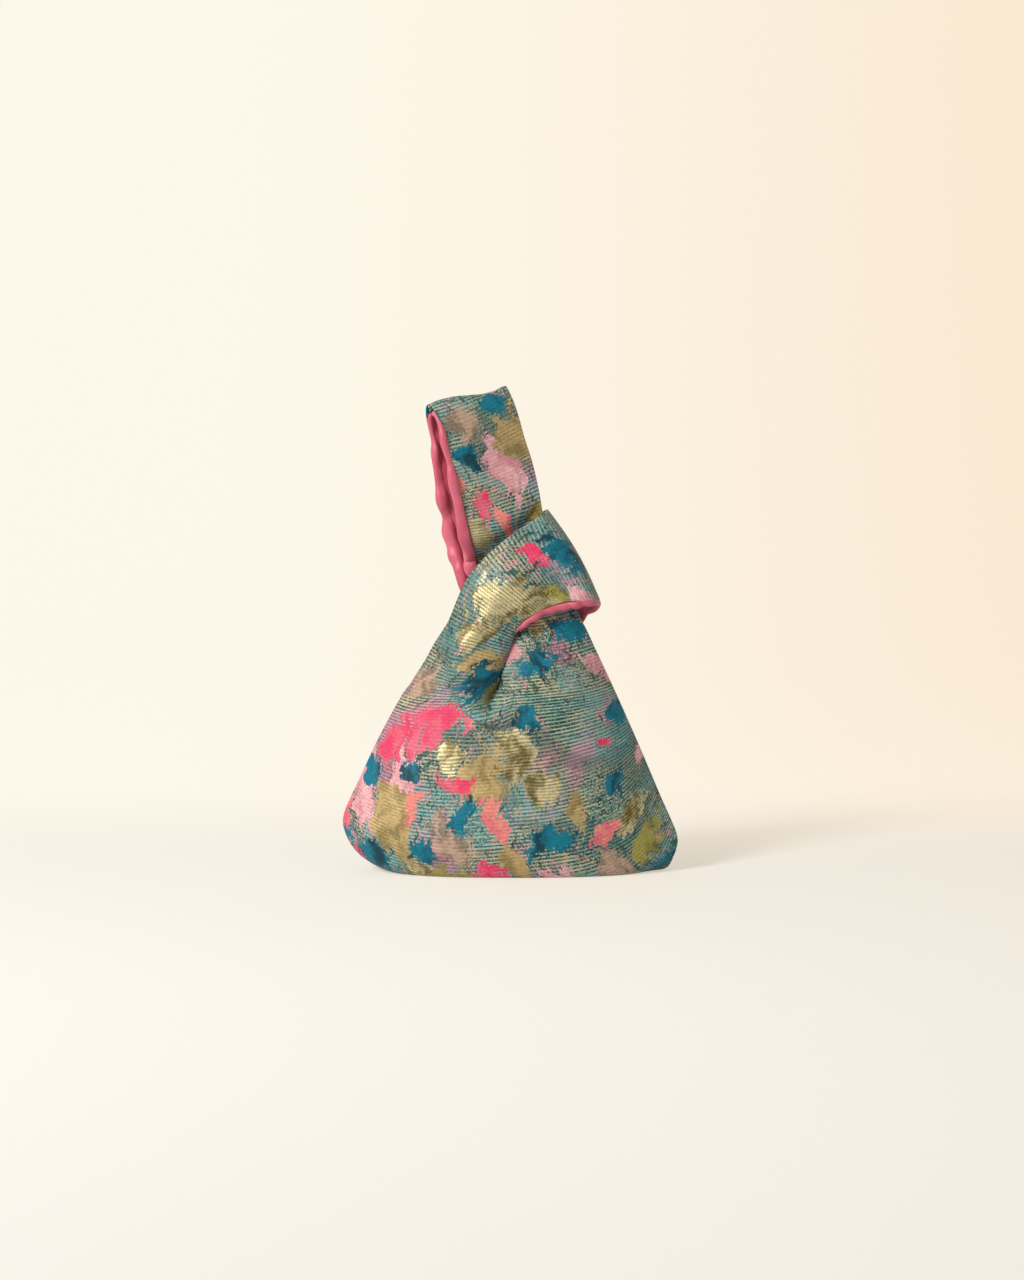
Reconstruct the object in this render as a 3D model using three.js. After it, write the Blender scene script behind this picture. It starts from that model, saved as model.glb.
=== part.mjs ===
import * as THREE from "three";

// A stuffed knot bag in millimetres: +Z up, front towards -Y, standing on Z = 0.
// Each panel is cut in one with its half of both handles. The short handle is the band of the knot.
// The long handle runs up through the band and becomes the wrist loop.

// Cloth: thickness of the two layers, and the gap kept between layers and at seams.
const BROCADE = 1.2;
const SATIN = 1.0;
const SEAM_GAP = 0.3;

// Body, measured over the outer cloth.
const BODY_WIDTH = 200;
const BODY_HALF_DEPTH = 38;
const BASE_HALF_DEPTH = 30;
const BELLY_HEIGHT = 30;
const FLOOR_PRESS = 4;
const LEFT_CORNER_WIDTH = 35;
const LEFT_CORNER_HEIGHT = 30;
const RIGHT_CORNER_WIDTH = 9;
const RIGHT_CORNER_HEIGHT = 19;
const LEFT_BOW = 4.5;
const RIGHT_BOW = 1;

// Exponents of the pillow's plan: how square and how round it swells, and how square its floor is.
const SWELL_SQUARE = 2.4;
const SWELL_ROUND = 0.8;
const FLOOR_SQUARE = 5;

// Neck: the notch where the handles part, and the top of the body above it.
const NOTCH_HEIGHT = 103;
const NOTCH_HALF_DEPTH = 27;
const NOTCH_LEFT = -12;
const NOTCH_WIDTH = 4;
const NECK_RISE = 45;
const NECK_LEFT = -36;
const NECK_RIGHT = 42;
const NECK_HALF_GAP = 9;
const SIDE_SEAM_STOP = 26;

// Band of the knot: a lined sleeve, folded flat at its right end.
const BAND_WIDTH = 62;
const BAND_LEAN = 30;
const HEEL_RIGHT = 10;
const HEEL_RISE = 12;
const FOLD_ROUND = 9;
const FOLD_BOW = 2.5;
const BAND_CROWN = 5;
const KNOT_CLEARANCE = 4;
const LIP_CLEARANCE = 2.5;
const LIP_REACH = 12;

// The rolled edge of the band where it folds over the neck.
const ROLL_HEIGHT = 7;
const ROLL_WIDTH = 8;

// Wrist loop.
const STRAP_WIDTH = 50;
const CINCH_WIDTH = 45;
const CINCH_HALF_GAP = 5.5;
const CINCH_RIGHT = 3;
const CINCH_RISE = 29;
const STRAP_CROWN = 1.5;
const LOOP_LENGTH = 106;
const LOOP_LEAN = 17;
const LOOP_TURN = 23;
const LOOP_TILT = 12;
const LOOP_SPREAD_LEFT = 12;
const LOOP_SPREAD_RIGHT = 6;
const LEG_DRIFT = 6;
const TOP_ROUND = 17;

// Lining that rolls out past the brocade.
const LIP_ROLL = 5;
const STRAP_ROLL = 5;

// Rows and columns of the mesh.
const BODY_ROWS = 18;
const LEFT_COLUMNS = 8;
const RIGHT_COLUMNS = 8;
const BAND_ROWS = 12;
const FOLD_ROWS = 4;
const STRAP_ROWS = 19;
const TOP_ROWS = 4;
const ROW_CROWDING = 0.08;

const { lerp, smoothstep, degToRad } = THREE.MathUtils;
const FRONT = -1;
const BACK = 1;
const HALF_GAP = SEAM_GAP / 2;
const OUTSIDE = HALF_GAP + BROCADE;
const INSIDE = HALF_GAP + SATIN;
const NECK_HEIGHT = NOTCH_HEIGHT + NECK_RISE;
const BAND_HALF_DEPTH = CINCH_HALF_GAP + STRAP_CROWN + OUTSIDE + INSIDE + KNOT_CLEARANCE;

// The panels are drawn by the surface between brocade and satin: x, depth from the middle plane, z.
const point = (x, depth, z) => new THREE.Vector3(x, depth, z);
const through = (points) => new THREE.CatmullRomCurve3(points, false, "centripetal");

// How far along a rising curve, from 0 to 1, it reaches a height.
function reaches(curve, height) {
  let low = 0;
  let high = 1;
  for (let step = 0; step < 40; step += 1) {
    const middle = (low + high) / 2;
    if (curve.getPointAt(middle).z < height) low = middle;
    else high = middle;
  }
  return low;
}

// A side seam from the bottom seam round its corner and on towards the neck.
function sideSeam(sign, cornerWidth, cornerHeight, neck, bow) {
  const edge = sign * (BODY_WIDTH / 2 - OUTSIDE);
  const corner = new THREE.EllipseCurve(
    edge - sign * cornerWidth, cornerHeight + OUTSIDE, cornerWidth, cornerHeight,
    -Math.PI / 2, sign > 0 ? 0 : -Math.PI, sign < 0,
  );
  const points = corner.getPoints(6).map((p) => point(p.x, 0, p.y));
  const start = points.at(-1);
  const stop = (NOTCH_HEIGHT + SIDE_SEAM_STOP - start.z) / (NECK_HEIGHT - start.z);
  for (const share of [0.25, 0.5, 0.75, 1]) {
    const up = share * stop;
    const out = sign * bow * Math.sin(Math.PI * up);
    points.push(point(lerp(start.x, neck, up) + out, 0, lerp(start.z, NECK_HEIGHT, up)));
  }
  return points;
}

// The band's fold line, from its lower end (heel) to its upper end (tip).
const bandLean = degToRad(BAND_LEAN);
const heel = point(NECK_RIGHT + HEEL_RIGHT, HALF_GAP, NECK_HEIGHT + HEEL_RISE);
const tip = heel.clone().add(point(-Math.sin(bandLean), 0, Math.cos(bandLean)).multiplyScalar(BAND_WIDTH));
const outOfFold = point(Math.cos(bandLean), 0, Math.sin(bandLean));

// Where an edge that comes from a place starts to turn into the fold.
const beforeFold = (end, from) => {
  const back = from.clone().sub(end).setY(0).setLength(FOLD_ROUND);
  return end.clone().add(back).setY(BAND_HALF_DEPTH);
};

// Left seam of the body, carried on as the upper edge of the band.
function towardsTip(across, up, depth) {
  return point(lerp(NECK_LEFT, tip.x, across), depth, lerp(NECK_HEIGHT, tip.z, up));
}
const upperEdge = [
  towardsTip(0, 0.03, NECK_HALF_GAP),
  towardsTip(0.1, 0.26, lerp(NECK_HALF_GAP, BAND_HALF_DEPTH, 0.7)),
  towardsTip(0.31, 0.54, BAND_HALF_DEPTH),
  towardsTip(0.61, 0.77, BAND_HALF_DEPTH),
];
const leftEdge = through([
  ...sideSeam(-1, LEFT_CORNER_WIDTH, LEFT_CORNER_HEIGHT, NECK_LEFT, LEFT_BOW),
  ...upperEdge,
  beforeFold(tip, upperEdge.at(-1)),
]);
const rightEdge = through([
  ...sideSeam(1, RIGHT_CORNER_WIDTH, RIGHT_CORNER_HEIGHT, NECK_RIGHT, RIGHT_BOW),
  point(NECK_RIGHT, CINCH_HALF_GAP, NECK_HEIGHT),
]);

// Section of the body from the bottom seam out along the floor and up the belly to the notch.
const depthOf = (share) => (BODY_HALF_DEPTH - OUTSIDE) * share;
const centreLine = through([
  point(0, 0, -FLOOR_PRESS),
  point(0, BASE_HALF_DEPTH * 0.5, -FLOOR_PRESS),
  point(0, BASE_HALF_DEPTH, -FLOOR_PRESS * 0.4),
  point(0, depthOf(0.95), BELLY_HEIGHT * 0.35),
  point(0, depthOf(1), BELLY_HEIGHT),
  point(0, lerp(depthOf(1), NOTCH_HALF_DEPTH, 0.4), lerp(BELLY_HEIGHT, NOTCH_HEIGHT, 0.5)),
  point(0, NOTCH_HALF_DEPTH, NOTCH_HEIGHT),
]);

// How far the pillow swells, and how far its floor reaches, across from seam (0) to seam (1).
const swellAt = (across) => (1 - Math.abs(2 * across - 1) ** SWELL_SQUARE) ** SWELL_ROUND;
const floorAt = (across) => 1 - Math.abs(2 * across - 1) ** FLOOR_SQUARE;

// A height over the floor once the floor has pressed back whatever would sink into it.
function pressed(height) {
  const soft = FLOOR_PRESS / 2;
  if (Math.abs(height) > soft) return Math.max(height, 0);
  return (height + soft) ** 2 / (4 * soft);
}

// Sections of the strap from the cinch (0) to where the loop's top starts to round over (1).
const loopLean = degToRad(LOOP_LEAN);
const loopDirection = point(-Math.sin(loopLean), 0, Math.cos(loopLean));
const cinch = point((NECK_LEFT + NECK_RIGHT) / 2 + CINCH_RIGHT, 0, NECK_HEIGHT + CINCH_RISE);
function strapSection(share) {
  const open = smoothstep(share, 0, 0.8);
  return {
    axis: cinch.clone().addScaledVector(loopDirection, share * (LOOP_LENGTH - TOP_ROUND)),
    width: lerp(CINCH_WIDTH, STRAP_WIDTH, smoothstep(Math.abs(share - 0.3), 0, 0.5)),
    left: lerp(CINCH_HALF_GAP, LOOP_SPREAD_LEFT, open),
    right: lerp(CINCH_HALF_GAP, LOOP_SPREAD_RIGHT, open),
    turn: degToRad(LOOP_TURN) * smoothstep(share, 0.1, 0.9),
    drift: LEG_DRIFT * (1 - smoothstep(share, 0.2, 1)),
  };
}

// A point of the strap's front or back leg, across from its left edge (0) to its right edge (1).
// The gap between the legs can be closed, from 1 down to 0, to round the loop's top over.
const rowTilt = degToRad(LOOP_TILT);
const rowDirection = point(Math.cos(rowTilt), 0, Math.sin(rowTilt));
const alongRow = (turn) => rowDirection.clone().multiplyScalar(Math.cos(turn)).setY(Math.sin(turn));
const acrossLegs = (turn) => rowDirection.clone().multiplyScalar(-Math.sin(turn)).setY(Math.cos(turn));
function strapPoint(section, across, side, open = 1) {
  const gap = Math.max(lerp(section.left, section.right, across) * open, HALF_GAP);
  const drift = side === BACK ? section.drift : 0;
  return section.axis.clone()
    .addScaledVector(alongRow(section.turn), (across - 0.5) * section.width - drift)
    .addScaledVector(acrossLegs(section.turn), side * gap);
}

// Column places from an edge (0) to the other edge (1), closer together near both.
const hump = (share) => Math.sin(Math.PI * share);
function columns(count) {
  return Array.from({ length: count + 1 }, (_, i) => (1 - Math.cos((Math.PI * i) / count)) / 2);
}
const leftColumns = columns(LEFT_COLUMNS);
const rightColumns = columns(RIGHT_COLUMNS);
const depthIn = (p, side) => side * p.y;

// The body's rows from the bottom seam up to the notch, which leaves one column open.
const leftNotch = reaches(leftEdge, NOTCH_HEIGHT);
const rightNotch = reaches(rightEdge, NOTCH_HEIGHT);
const notchEnds = [leftEdge.getPointAt(leftNotch).x, rightEdge.getPointAt(rightNotch).x];
const placeOf = (x) => (x - notchEnds[0]) / (notchEnds[1] - notchEnds[0]);
const bodyColumns = [
  ...leftColumns.map((share) => lerp(0, placeOf(NOTCH_LEFT), share)),
  ...rightColumns.map((share) => lerp(placeOf(NOTCH_LEFT + NOTCH_WIDTH), 1, share)),
];

// The roll rises from the lower part of the front lip, is highest at its width and dies away beyond.
function ridge(x, z, side, lip) {
  if (side === BACK) return 0;
  const distance = Math.min(...lip.map((p) => Math.hypot(p.x - x, p.z - z))) / ROLL_WIDTH;
  const right = smoothstep(x, NOTCH_LEFT - ROLL_WIDTH / 2, NOTCH_LEFT + 2 * ROLL_WIDTH);
  return ROLL_HEIGHT * (distance * Math.exp(1 - distance)) ** 1.5 * (1 - right);
}

function bodyRows(side, lip) {
  return Array.from({ length: BODY_ROWS + 1 }, (_, i) => {
    const share = i / BODY_ROWS;
    const up = share + ROW_CROWDING * Math.sin(Math.PI * share);
    const left = leftEdge.getPointAt(up * leftNotch);
    const right = rightEdge.getPointAt(up * rightNotch);
    const centre = centreLine.getPointAt(up);
    return bodyColumns.map((across) => {
      const x = lerp(left.x, right.x, across);
      const seam = lerp(left.z, right.z, across);
      const z = OUTSIDE + pressed(lerp(seam, centre.z, floorAt(across)) - OUTSIDE);
      const fold = ridge(x, z, side, lip) * swellAt(across);
      return point(x, side * Math.max(centre.y * swellAt(across) + fold, HALF_GAP), z);
    });
  });
}

// The strap's rows from the notch through the cinch and up to the loop's top seam.
function strapRows(side, start, roll) {
  const sections = [0, 0.33, 0.67, 1].map(strapSection);
  const foot = sections[0];
  const leftLine = through([
    start[0].clone(),
    ...[0.3, 0.65].map((share) => start[0].clone().lerp(strapPoint(foot, 0, side), share)),
    ...sections.map((section) => strapPoint(section, 0, side)),
  ]);
  const seamEnd = rightEdge.getPointAt(reaches(rightEdge, NOTCH_HEIGHT + SIDE_SEAM_STOP));
  const neck = rightEdge.getPointAt(1);
  const rightLine = through([
    start.at(-1).clone(),
    seamEnd.setY(side * HALF_GAP),
    neck.setY(side * neck.y),
    ...sections.map((section) => strapPoint(section, 1, side)),
  ]);
  const rows = [];
  for (let i = 1; i <= STRAP_ROWS; i += 1) {
    const up = i / STRAP_ROWS;
    const left = leftLine.getPointAt(up);
    const right = rightLine.getPointAt(up);
    const settled = smoothstep(up, 0, 0.4);
    rows.push(rightColumns.map((share, j) => {
      const flat = lerp(depthIn(start[0], side), HALF_GAP, share);
      const crown = lerp(depthIn(start[j], side) - flat, STRAP_CROWN * hump(share), settled);
      const p = left.clone().lerp(right, share);
      const depth = depthIn(p, side) + crown;
      return p.setY(side * (p.z < NECK_HEIGHT ? Math.max(depth, HALF_GAP) : depth));
    }));
  }
  const top = sections.at(-1);
  for (let i = 1; i <= TOP_ROWS; i += 1) {
    const angle = (Math.PI / 2) * (i / TOP_ROWS);
    const axis = top.axis.clone().addScaledVector(loopDirection, TOP_ROUND * Math.sin(angle));
    rows.push(rightColumns.map((share) => {
      const crown = STRAP_CROWN * hump(share) * Math.cos(angle);
      const p = strapPoint({ ...top, axis }, share, side, Math.cos(angle));
      return p.setY(p.y + side * crown);
    }));
  }
  rows.forEach((row, i) => rollOut(row, 0, 1, roll * smoothstep(i / rows.length, 0.17, 0.35)));
  return rows;
}

// Moves the end point of a row out past the next one, for lining that shows beside the brocade.
function rollOut(row, end, next, length) {
  if (length > 0) row[end].addScaledVector(row[end].clone().sub(row[next]).normalize(), length);
}

// The band's rows from the notch to its fold, lying over the strap.
function bandRows(side, start, lip, strap, roll) {
  const rows = [];
  const lipStart = start.at(-1);
  const cover = (p) => {
    const near = strap.flat().filter((q) => Math.hypot(q.x - p.x, q.z - p.z) < LIP_REACH);
    return Math.max(BAND_HALF_DEPTH, ...near.map((q) => depthIn(q, side) + OUTSIDE + INSIDE + LIP_CLEARANCE));
  };
  const lipCurve = through([
    point(lipStart.x, depthIn(lipStart, side), lipStart.z),
    ...lip.slice(1, -1).map((p) => point(p.x, cover(p), p.z)),
    beforeFold(heel, lip.at(-2)),
  ]);
  for (let i = 1; i <= BAND_ROWS; i += 1) {
    const up = i / BAND_ROWS;
    const edge = leftEdge.getPointAt(lerp(leftNotch, 1, up));
    const end = lipCurve.getPointAt(up);
    const settled = smoothstep(up, 0, 0.5);
    const tightened = 1 - 0.7 * smoothstep(up, 0.7, 1);
    const rolled = settled * (1 - smoothstep(up, 0.4, 0.7));
    rows.push(leftColumns.map((share, j) => {
      const flat = lerp(HALF_GAP, depthIn(lipStart, side), share);
      const crown = lerp(depthIn(start[j], side) - flat, BAND_CROWN * hump(share) * tightened, settled);
      const p = edge.clone().lerp(end, share);
      const fold = ridge(p.x, p.z, side, lip.slice(0, 4)) * rolled * hump(share);
      return p.setY(side * Math.max(p.y + crown + fold, HALF_GAP));
    }));
  }
  const last = rows.at(-1);
  for (let i = 1; i <= FOLD_ROWS; i += 1) {
    const angle = (Math.PI / 2) * (i / FOLD_ROWS);
    rows.push(leftColumns.map((share, j) => {
      const depth = Math.max(depthIn(last[j], side) * Math.cos(angle), HALF_GAP);
      const fold = tip.clone().lerp(heel, share).addScaledVector(outOfFold, FOLD_BOW * hump(share));
      return last[j].clone().lerp(fold, Math.sin(angle)).setY(side * depth);
    }));
  }
  rows.forEach((row, i) => {
    rollOut(row, LEFT_COLUMNS, LEFT_COLUMNS - 1, roll * smoothstep(i / rows.length, 0.3, 0.5));
  });
  return rows;
}

// One panel as a sheet: numbered points, quads that face out, and walls its layers must not cross.
function panelSheet(side, lip, lipRoll, strapRoll) {
  const body = bodyRows(side, lip);
  const top = body.at(-1);
  const strap = strapRows(side, top.slice(LEFT_COLUMNS + 1), strapRoll);
  const band = bandRows(side, top.slice(0, LEFT_COLUMNS + 1), lip, strap, lipRoll);
  const points = [];
  const quads = [];
  const walls = [];
  const number = (row) => row.map((p) => points.push(p) - 1);
  const knit = (rows) => rows.slice(1).forEach((row, i) => {
    for (let j = 0; j + 1 < row.length; j += 1) {
      const quad = [rows[i][j], rows[i][j + 1], row[j + 1], row[j]];
      quads.push(side === FRONT ? quad : quad.reverse());
    }
  });
  const bodyNumbers = body.map(number);
  const topNumbers = bodyNumbers.at(-1);
  const bandNumbers = [topNumbers.slice(0, LEFT_COLUMNS + 1), ...band.map(number)];
  const strapNumbers = [topNumbers.slice(LEFT_COLUMNS + 1), ...strap.map(number)];
  [bodyNumbers, bandNumbers, strapNumbers].forEach(knit);

  // Layers keep to their own side of the middle plane, up to the cinch, and of the loop's top seam.
  const middle = point(0, 1, 0);
  const belowCinch = strapNumbers.flat().filter((i) => points[i].z < cinch.z);
  for (const i of [...bodyNumbers.flat(), ...bandNumbers.flat(), ...belowCinch]) {
    walls[i] = { across: middle, room: depthIn(points[i], side) - HALF_GAP };
  }
  for (const i of strapNumbers.at(-1)) walls[i] = { across: acrossLegs(degToRad(LOOP_TURN)), room: 0 };
  return { points, quads, walls };
}

// A sheet's layer between two offsets along its normals, as one closed solid.
function layer(sheet, inner, outer) {
  const { points, quads, walls } = sheet;
  const normals = points.map(() => new THREE.Vector3());
  for (const [a, b, c, d] of quads) {
    const normal = points[c].clone().sub(points[a]).cross(points[d].clone().sub(points[b]));
    for (const i of [a, b, c, d]) normals[i].add(normal);
  }
  normals.forEach((normal, i) => {
    normal.normalize();
    if (!walls[i]) return;
    const { across, room } = walls[i];
    const lean = normal.dot(across);
    const allowed = Math.min(Math.abs(lean), room / INSIDE);
    normal.addScaledVector(across, -lean).setLength(Math.sqrt(1 - allowed ** 2));
    normal.addScaledVector(across, Math.sign(lean) * allowed);
  });
  const face = (offset) => points.map((p, i) => p.clone().addScaledVector(normals[i], offset));
  const count = points.length;
  const index = [];
  const open = new Map();
  for (const [a, b, c, d] of quads) {
    index.push(a, b, c, a, c, d);
    index.push(count + a, count + c, count + b, count + a, count + d, count + c);
    for (const [from, to] of [[a, b], [b, c], [c, d], [d, a]]) {
      if (!open.delete(`${to} ${from}`)) open.set(`${from} ${to}`, [from, to]);
    }
  }
  for (const [from, to] of open.values()) {
    index.push(to, from, count + from, to, count + from, count + to);
  }
  const geometry = new THREE.BufferGeometry().setFromPoints([...face(outer), ...face(inner)]);
  geometry.setIndex(index);
  geometry.computeVertexNormals();
  return geometry;
}

// Lips as shares of the way across and up from the notch to the heel.
// The front one climbs and then turns across, and the back one runs almost straight.
const frontLip = [
  [0, 0], [0.1, 0.2], [0.17, 0.47], [0.25, 0.72], [0.38, 0.87], [0.58, 0.97], [0.78, 1.02], [1, 1],
];
const backLip = [[0, 0], [0.08, 0.15], [0.22, 0.36], [0.47, 0.58], [0.72, 0.77], [1, 1]];
function towardsHeel([across, up]) {
  return point(lerp(NOTCH_LEFT, heel.x, across), 0, lerp(NOTCH_HEIGHT, heel.z, up));
}

const brocade = new THREE.MeshStandardMaterial({ color: 0x5f8a86, roughness: 0.55, metalness: 0.15 });
const satin = new THREE.MeshStandardMaterial({ color: 0xe0788c, roughness: 0.45, metalness: 0 });
const bag = new THREE.Group();
bag.name = "knot_bag";

function add(name, sheet, inner, outer, material) {
  const mesh = new THREE.Mesh(layer(sheet, inner, outer), material);
  mesh.name = name;
  bag.add(mesh);
}

for (const [name, side, shares] of [["front", FRONT, frontLip], ["back", BACK, backLip]]) {
  const lip = shares.map(towardsHeel);
  add(`outer_${name}_panel`, panelSheet(side, lip, 0, 0), HALF_GAP, OUTSIDE, brocade);
  add(`lining_${name}_panel`, panelSheet(side, lip, LIP_ROLL, STRAP_ROLL), -INSIDE, -HALF_GAP, satin);
}

export default bag;
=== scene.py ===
import math
from functools import partialmethod
import bpy
import numpy as np
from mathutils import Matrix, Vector


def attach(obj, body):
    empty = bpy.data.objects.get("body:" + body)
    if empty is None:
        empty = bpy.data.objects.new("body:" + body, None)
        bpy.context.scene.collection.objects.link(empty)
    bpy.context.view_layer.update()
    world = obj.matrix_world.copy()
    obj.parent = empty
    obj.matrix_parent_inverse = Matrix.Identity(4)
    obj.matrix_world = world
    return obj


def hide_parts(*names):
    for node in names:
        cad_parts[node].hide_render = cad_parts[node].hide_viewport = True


# A stuffed knot bag of painterly brocade, lined with pink satin.
# Lengths are millimetres until a mesh is made. The front is towards -Y.

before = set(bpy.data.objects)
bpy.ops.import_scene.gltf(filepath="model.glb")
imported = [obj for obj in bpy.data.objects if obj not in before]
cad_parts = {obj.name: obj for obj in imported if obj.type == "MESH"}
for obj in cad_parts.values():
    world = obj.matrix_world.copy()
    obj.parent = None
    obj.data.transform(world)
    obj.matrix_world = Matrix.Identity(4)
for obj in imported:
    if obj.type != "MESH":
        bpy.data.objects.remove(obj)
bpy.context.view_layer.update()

# Cloth: thickness of the two layers, the gap kept between layers, and the slack in a seam.
BROCADE = 1.2
SATIN = 1.0
SEAM_GAP = 0.3
SEAM_SLACK = 0.03

# Body, measured over the outer cloth.
BODY_WIDTH = 200
BODY_HALF_DEPTH = 38
BASE_HALF_DEPTH = 30
BELLY_HEIGHT = 30
FLOOR_PRESS = 4
LEFT_CORNER = (35, 30)
RIGHT_CORNER = (9, 19)
CORNER_STEPS = 6
LEFT_BOW = 4.5
RIGHT_BOW = 1
SWELL_SQUARE = 2.4
SWELL_ROUND = 0.8
FLOOR_SQUARE = 5

# Neck: the notch where the handles part, and the top of the body above it.
NOTCH_HEIGHT = 106
NOTCH_HALF_DEPTH = 27
NOTCH_PLACE = -10
NECK_RISE = 42
NECK_LEFT = -36
NECK_RIGHT = 42
NECK_HALF_GAP = 9
SIDE_SEAM_STOP = 23

# Band of the knot: a lined sleeve, folded flat at its right end.
BAND_WIDTH = 62
BAND_LEAN = 30
HEEL_RIGHT = 10
HEEL_RISE = 12
FOLD_ROUND = 9
FOLD_BOW = 2.5
BAND_CROWN = 5
# Shares of its length: where it has left the body's swell, and where the fold flattens its crown.
BAND_SETTLED = 0.5
BAND_FLATTENS = 0.7
FLATTENED_CROWN = 0.3
KNOT_CLEARANCE = 6
LIP_CLEARANCE = 2.5
LIP_REACH = 12

# The back's edge of the neck is drawn in behind the front's.
BACK_TUCK = 3
BACK_TUCK_FROM = 126
BACK_TUCK_HEIGHT = 80

# How far the front lip rises clear of the strap at each of its points: it starts tucked in.
LIP_LIFTS = (0, 0, 0.45, 1, 1, 1)

# Wrist loop.
STRAP_WIDTH = 50
CINCH_WIDTH = 45
CINCH_LEFT_GAP = 3.2
CINCH_RIGHT_GAP = 1.4
CINCH_RIGHT = 3
CINCH_RISE = 29
STRAP_CROWN = 1.5
LOOP_LENGTH = 106
LOOP_LEAN = 17
LOOP_TURN = 23
LOOP_TILT = 12
LOOP_SPREAD_LEFT = 10.5
LOOP_SPREAD_RIGHT = 6
LEG_DRIFT = 9
TOP_ROUND = 17
# Shares of its height: where it has left the body's swell, is narrow, opens, turns and levels its legs.
STRAP_SETTLED = 0.4
STRAP_WAIST = 0.3
WAIST_REACH = 0.5
LEGS_PART = (-0.05, 0.45)
LOOP_TURNS = (0.1, 0.9)
LEGS_LEVEL = (0.2, 1)
STRAP_SECTIONS = (0, 0.33, 0.67, 1)

# Rows and columns of the sheets before they are subdivided.
BODY_ROWS = 64
LEFT_COLUMNS = 36
RIGHT_COLUMNS = 40
BAND_ROWS = 50
FOLD_ROWS = 8
STRAP_ROWS = 80
TOP_ROWS = 8
ROW_CROWDING = 0.08
COLUMN_CROWDING = 0.05
CURVE_STEPS = 60
LINE_STEPS = 160
# The first rows stay this far apart where the bottom seam lies on the floor.
PARTED_ROWS = 2
ROW_PARTING = 0.3

FRONT = -1
BACK = 1
MM = 0.001
HALF_GAP = SEAM_GAP / 2
OUTSIDE = HALF_GAP + BROCADE
SEAM_ROOM = OUTSIDE + SEAM_SLACK
INSIDE = HALF_GAP + SATIN
NECK_HEIGHT = NOTCH_HEIGHT + NECK_RISE
BAND_HALF_DEPTH = CINCH_LEFT_GAP + STRAP_CROWN + OUTSIDE + INSIDE + KNOT_CLEARANCE


def lerp(a, b, share):
    return a + (b - a) * share


def smoothstep(x, low, high):
    t = np.clip((x - low) / (high - low), 0, 1)
    return t * t * (3 - 2 * t)


def point(x, depth, z):
    return np.array([x, depth, z], float)


def point_list(rows):
    """Rows of points as one list. A change to the list changes the rows."""
    return rows.reshape(-1, 3)


def hump(share):
    return np.sin(np.pi * share)


def even_shares(count):
    """Even shares of a way, the start left out."""
    return (np.arange(count) + 1) / count


def unit(vectors):
    return vectors / np.linalg.norm(vectors, axis=1, keepdims=True)


def step_lengths(points, axis):
    return np.linalg.norm(np.diff(points, axis=axis), axis=-1)


def through(points):
    """A smooth line through points, as shares of its length and places."""
    places = np.asarray(points, float)
    ends = np.vstack([2 * places[0] - places[1], places, 2 * places[-1] - places[-2]])
    t = np.linspace(0, 1, CURVE_STEPS, endpoint=False)[:, None]
    spans = []
    for a, b, c, d in zip(ends, ends[1:], ends[2:], ends[3:]):
        ab, bc, cd = (np.linalg.norm(q - p) ** 0.5 for p, q in ((a, b), (b, c), (c, d)))
        leave = ((b - a) / ab - (c - a) / (ab + bc) + (c - b) / bc) * bc
        arrive = ((c - b) / bc - (d - b) / (bc + cd) + (d - c) / cd) * bc
        spans.append(b + leave * t + (3 * (c - b) - 2 * leave - arrive) * t ** 2
                     + (2 * (b - c) + leave + arrive) * t ** 3)
    line = np.vstack([*spans, places[-1:]])
    run = np.concatenate([[0], np.cumsum(step_lengths(line, 0))])
    return run / run[-1], line


def at(curve, share):
    runs, line = curve
    return np.stack([np.interp(share, runs, line[:, k]) for k in range(3)], axis=-1)


def reaches(curve, height):
    """How far along a rising line, from 0 to 1, it reaches a height."""
    runs, line = curve
    return np.interp(height, line[:, 2], runs)


def side_seam(sign, corner, neck, bow):
    """A side seam from the bottom seam round its corner and on towards the neck."""
    edge = sign * (BODY_WIDTH / 2 - OUTSIDE)
    width, height = corner
    points = []
    for k in range(CORNER_STEPS + 1):
        angle = -math.pi / 2 + sign * (math.pi / 2) * k / CORNER_STEPS
        points.append(point(edge - sign * width + width * math.cos(angle), 0,
                            height + OUTSIDE + height * math.sin(angle)))
    start = points[-1]
    stop = (NOTCH_HEIGHT + SIDE_SEAM_STOP - start[2]) / (NECK_HEIGHT - start[2])
    for share in (0.25, 0.5, 0.75, 1):
        up = share * stop
        out = sign * bow * math.sin(math.pi * up)
        points.append(point(lerp(start[0], neck, up) + out, 0, lerp(start[2], NECK_HEIGHT, up)))
    return points


# The band's fold line, from its lower end (heel) to its upper end (tip).
band_lean = math.radians(BAND_LEAN)
heel = point(NECK_RIGHT + HEEL_RIGHT, SEAM_ROOM, NECK_HEIGHT + HEEL_RISE)
tip = heel + point(-math.sin(band_lean), 0, math.cos(band_lean)) * BAND_WIDTH
out_of_fold = point(math.cos(band_lean), 0, math.sin(band_lean))


def before_fold(end, start):
    """Where an edge that comes from a place starts to turn into the fold."""
    back = (start - end) * [1, 0, 1]
    place = end + back / np.linalg.norm(back) * FOLD_ROUND
    place[1] = BAND_HALF_DEPTH
    return place


def towards_tip(across, up, depth):
    return point(lerp(NECK_LEFT, tip[0], across), depth, lerp(NECK_HEIGHT, tip[2], up))


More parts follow.
